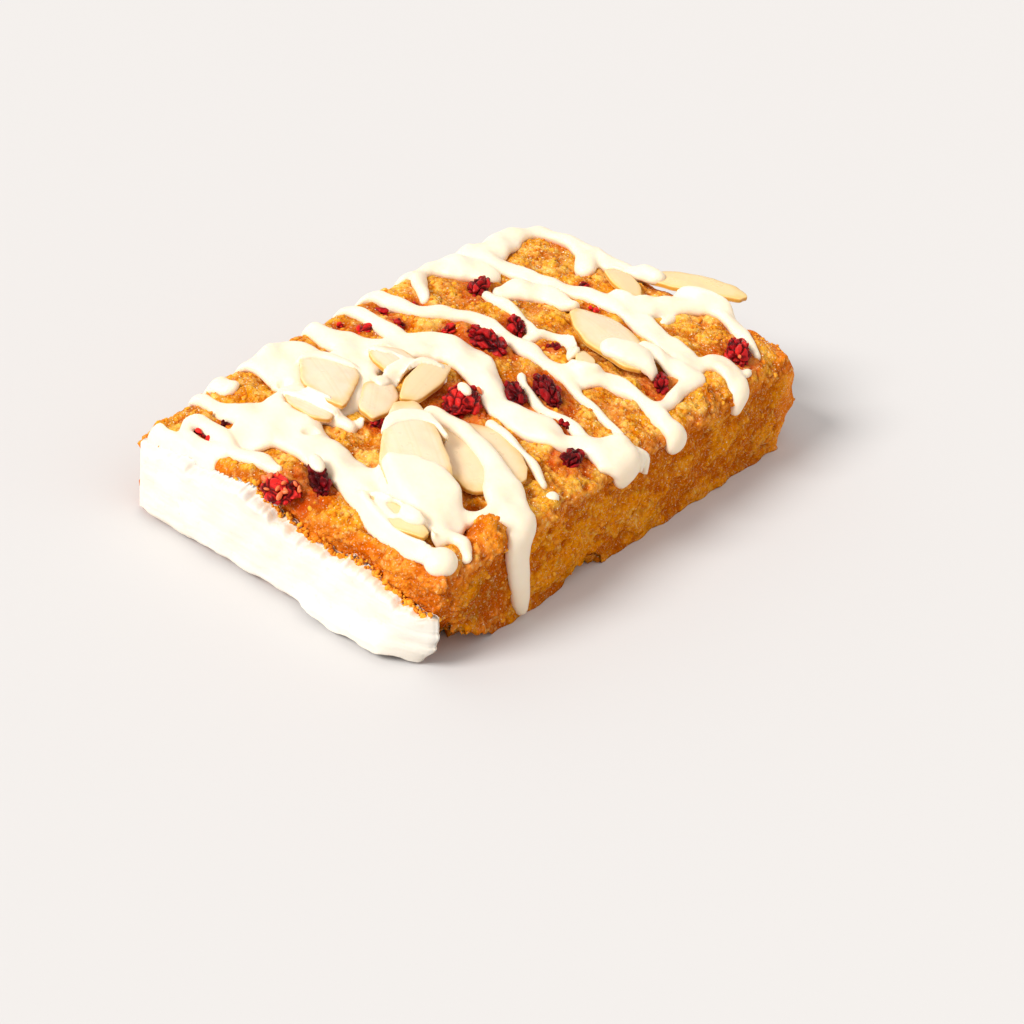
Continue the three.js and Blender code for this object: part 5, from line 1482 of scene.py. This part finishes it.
def coatFinish():
    material, tree, shader = newMaterial(
        "coatChocolate", Roughness=0.5, Subsurface_Weight=0.1, Subsurface_Scale=0.001,
        Subsurface_Radius=(1.0, 0.85, 0.6), Specular_IOR_Level=0.35)
    tones = coatColours
    stroke, thin = fieldOf(tree, "stroke"), fieldOf(tree, "thin")
    broad, fine = noiseOf(tree, 7), noiseOf(tree, 1.1, detail=4)
    marks = noiseOf(tree, 2.4, detail=5, roughness=0.6)
    patchy = times(tree, remap(tree, thin, 0.55, 0.9), remap(tree, marks, 0.47, 0.5))
    base = layered(tree, mixColour(tree, remap(tree, broad, 0.35, 0.65), *tones["broad"]), [
        # painted shade in the grooves of the smears
        (remap(tree, stroke, -0.15, -0.7, 0, 0.35), tones["grooveShade"]),
        (remap(tree, fine, 0.6, 0.78, 0, 0.5), tones["fleck"]),
        (times(tree, patchy, 0.35), tones["crumby"]),
        (remap(tree, marks, 0.69, 0.72, 0, 0.5), tones["crumbMark"]),
    ])
    connect(tree, shader, Base_Color=base, Roughness=remap(tree, fine, 0.3, 0.7, 0.42, 0.6))
    height = calculate(tree, "ADD", noiseOf(tree, 1.0, detail=4), times(tree, stroke, 0.3))
    bumpFrom(tree, shader, height, 0.12, 0.7)
    return material


almondColours = dict(flesh=((246, 216, 190), (240, 206, 152)), vein=(236, 196, 148),
                     patch=(238, 200, 150), rim=(236, 190, 112), skin=(206, 146, 40))


def almondFinish():
    material, tree, shader = newMaterial(
        "flakedAlmond", Roughness=0.3, Subsurface_Weight=0.3, Subsurface_Scale=0.0012,
        Subsurface_Radius=(1.0, 0.8, 0.45), Specular_IOR_Level=0.5)
    tones = almondColours
    rim, edge = fieldOf(tree, "rimShare"), fieldOf(tree, "edgeShare")
    tone, across = fieldOf(tree, "tone"), fieldOf(tree, "across")
    broad = noiseOf(tree, 3.5)
    vein = addNode(tree, "ShaderNodeTexNoise", {"W": across, "Scale": 1.7, "Detail": 4.0},
                   noise_dimensions="1D").outputs["Fac"]
    base = layered(tree, mixColour(tree, tone, *tones["flesh"]), [
        (remap(tree, vein, 0.5, 0.72, 0, 0.4), tones["vein"]),
        (remap(tree, broad, 0.5, 0.75, 0, 0.4), tones["patch"]),
        (times(tree, rim, remap(tree, broad, 0.35, 0.6, 0.25, 0.9)), tones["rim"]),
        (remap(tree, edge, 0.1, 0.7, 0, 0.9), tones["skin"]),
    ])
    connect(tree, shader, Base_Color=base, Roughness=remap(tree, broad, 0.3, 0.7, 0.24, 0.4))
    bumpFrom(tree, shader, noiseOf(tree, 2.2, detail=2), 0.12, 0.5)
    return material


# the darkest red, laid into the creases, is painted shade, and the pale pink flecks are painted highlights
raspberryColours = dict(lively=((206, 14, 26), (236, 48, 40)), sombre=((58, 2, 6), (132, 8, 18)),
                        patch=(62, 1, 5), highlightFleck=(244, 92, 72), creviceShade=(50, 0, 2))


def raspberryFinish():
    material, tree, shader = newMaterial(
        "driedRaspberry", Roughness=0.36, Subsurface_Weight=0.08, Subsurface_Scale=0.001,
        Subsurface_Radius=(1.0, 0.12, 0.08), Specular_IOR_Level=0.1)
    tones = raspberryColours
    creviceShade, tone, own = fieldOf(tree, "creviceShade"), fieldOf(tree, "beadTone"), fieldOf(tree, "pieceTone")
    broad, fine = noiseOf(tree, 1.8), noiseOf(tree, 0.4, detail=3)
    lively = mixColour(tree, remap(tree, tone, 0.1, 0.9), *tones["lively"])
    sombre = mixColour(tree, remap(tree, tone, 0.1, 0.9), *tones["sombre"])
    base = layered(tree, mixColour(tree, own, sombre, lively), [
        (remap(tree, broad, 0.5, 0.62, 0, 0.88), tones["patch"]),
        # painted highlight: pale pink flecks
        (remap(tree, fine, 0.62, 0.78, 0, 0.25), tones["highlightFleck"]),
        # painted shade in the creases between the drupelets
        (remap(tree, creviceShade, 0.45, 1, 0, 0.9), tones["creviceShade"]),
    ])
    connect(tree, shader, Base_Color=base, Roughness=remap(tree, fine, 0.3, 0.7, 0.2, 0.42))
    bumpFrom(tree, shader, noiseOf(tree, 0.3, detail=3), 0.08, 0.8)
    return material


# making the pieces

crumbMaterial = crumbFinish()
chocolateMaterial = chocolateFinish()
coatMaterial = coatFinish()
almondMaterial = almondFinish()
raspberryMaterial = raspberryFinish()
seedMaterial = seedFinish()
looseCrumbMaterial = looseCrumbFinish()
sugarMaterial = sugarFinish()

surface = crumbPiece(crumbMaterial)
print("crumb done")
drizzlePiece(chocolateMaterial)
print("drizzle done")
coatPiece(coatMaterial)
print("coat done")
for index, almond in enumerate(almonds, 1):
    almondFlake(index, almond, almondMaterial)
print("flakes done")
for index, spec in enumerate(berries, 1):
    raspberryPiece(index, spec, raspberryMaterial)
berryCrumbPiece(raspberryMaterial)
berrySeedPiece(seedMaterial)
print("raspberries done")
loosePieces(surface, looseCrumbMaterial, sugarMaterial)
print("loose crumbs done")


# floor, light and camera

studio = dict(
    floorHalf=3.0, floorColours=((212, 209, 208), (213, 211, 210)),
    worldLight=0.75, worldColour=(1.0, 0.985, 0.965, 1),
    sunLight=3.1, sunColour=(1.0, 0.985, 0.96), sunSoftness=24, sunFrom=(-0.72, 0.28, 0.64),
)


def floorPiece():
    half = studio["floorHalf"]
    mesh = bpy.data.meshes.new("paleFloor")
    mesh.from_pydata([(-half, -half, 0), (half, -half, 0), (half, half, 0), (-half, half, 0)], [],
                     [(0, 1, 2, 3)])
    floor = bpy.data.objects.new("paleFloor", mesh)
    bpy.context.scene.collection.objects.link(floor)
    material, tree, shader = newMaterial("paleFloor", Roughness=0.9, Specular_IOR_Level=0.1)
    base = mixColour(tree, noiseOf(tree, 400, detail=1), *studio["floorColours"])
    connect(tree, shader, Base_Color=base)
    mesh.materials.append(material)


def studioLight():
    world = bpy.data.worlds.new("paleStudio")
    world.use_nodes = True
    background = world.node_tree.nodes["Background"]
    background.inputs["Color"].default_value = studio["worldColour"]
    background.inputs["Strength"].default_value = studio["worldLight"]
    bpy.context.scene.world = world
    light = bpy.data.lights.new("softKey", "SUN")
    light.energy = studio["sunLight"]
    light.angle = math.radians(studio["sunSoftness"])
    light.color = studio["sunColour"]
    key = bpy.data.objects.new("softKey", light)
    key.rotation_mode = "QUATERNION"
    key.rotation_quaternion = Vector(studio["sunFrom"]).to_track_quat("Z", "Y")
    bpy.context.scene.collection.objects.link(key)


# the camera: where it stands and looks along, in degrees and plan millimetres
camera = dict(azimuth=-56.1435, elevation=32.1366, roll=7.5087, place=(-228.6, -161.02, 169.9),
              focalPixels=2200, framePixels=1024, sensor=36.0)


def placeCamera():
    azimuth, elevation = math.radians(camera["azimuth"]), math.radians(camera["elevation"])
    roll = math.radians(camera["roll"])
    back = np.array([math.sin(azimuth) * math.cos(elevation), -math.cos(azimuth) * math.cos(elevation),
                     math.sin(elevation)])
    right = np.cross([0, 0, 1], back)
    right /= np.linalg.norm(right)
    up = np.cross(back, right)
    rolledRight = right * math.cos(roll) + up * math.sin(roll)
    rolledUp = -right * math.sin(roll) + up * math.cos(roll)
    pose = np.eye(4)
    pose[:3, 0], pose[:3, 1], pose[:3, 2] = rolledRight, rolledUp, back
    pose[:3, 3] = (np.array(camera["place"]) - planShift) * mm
    lens = bpy.data.cameras.new("photoCamera")
    lens.sensor_width = camera["sensor"]
    lens.lens = camera["focalPixels"] / camera["framePixels"] * camera["sensor"]
    lens.clip_start, lens.clip_end = 0.01, 20
    eye = bpy.data.objects.new("photoCamera", lens)
    eye.matrix_world = Matrix(pose.tolist())
    bpy.context.scene.collection.objects.link(eye)
    bpy.context.scene.camera = eye


floorPiece()
studioLight()
placeCamera()
view = bpy.context.scene.view_settings
view.view_transform = "Standard"
view.look = "None"
print("stage done")
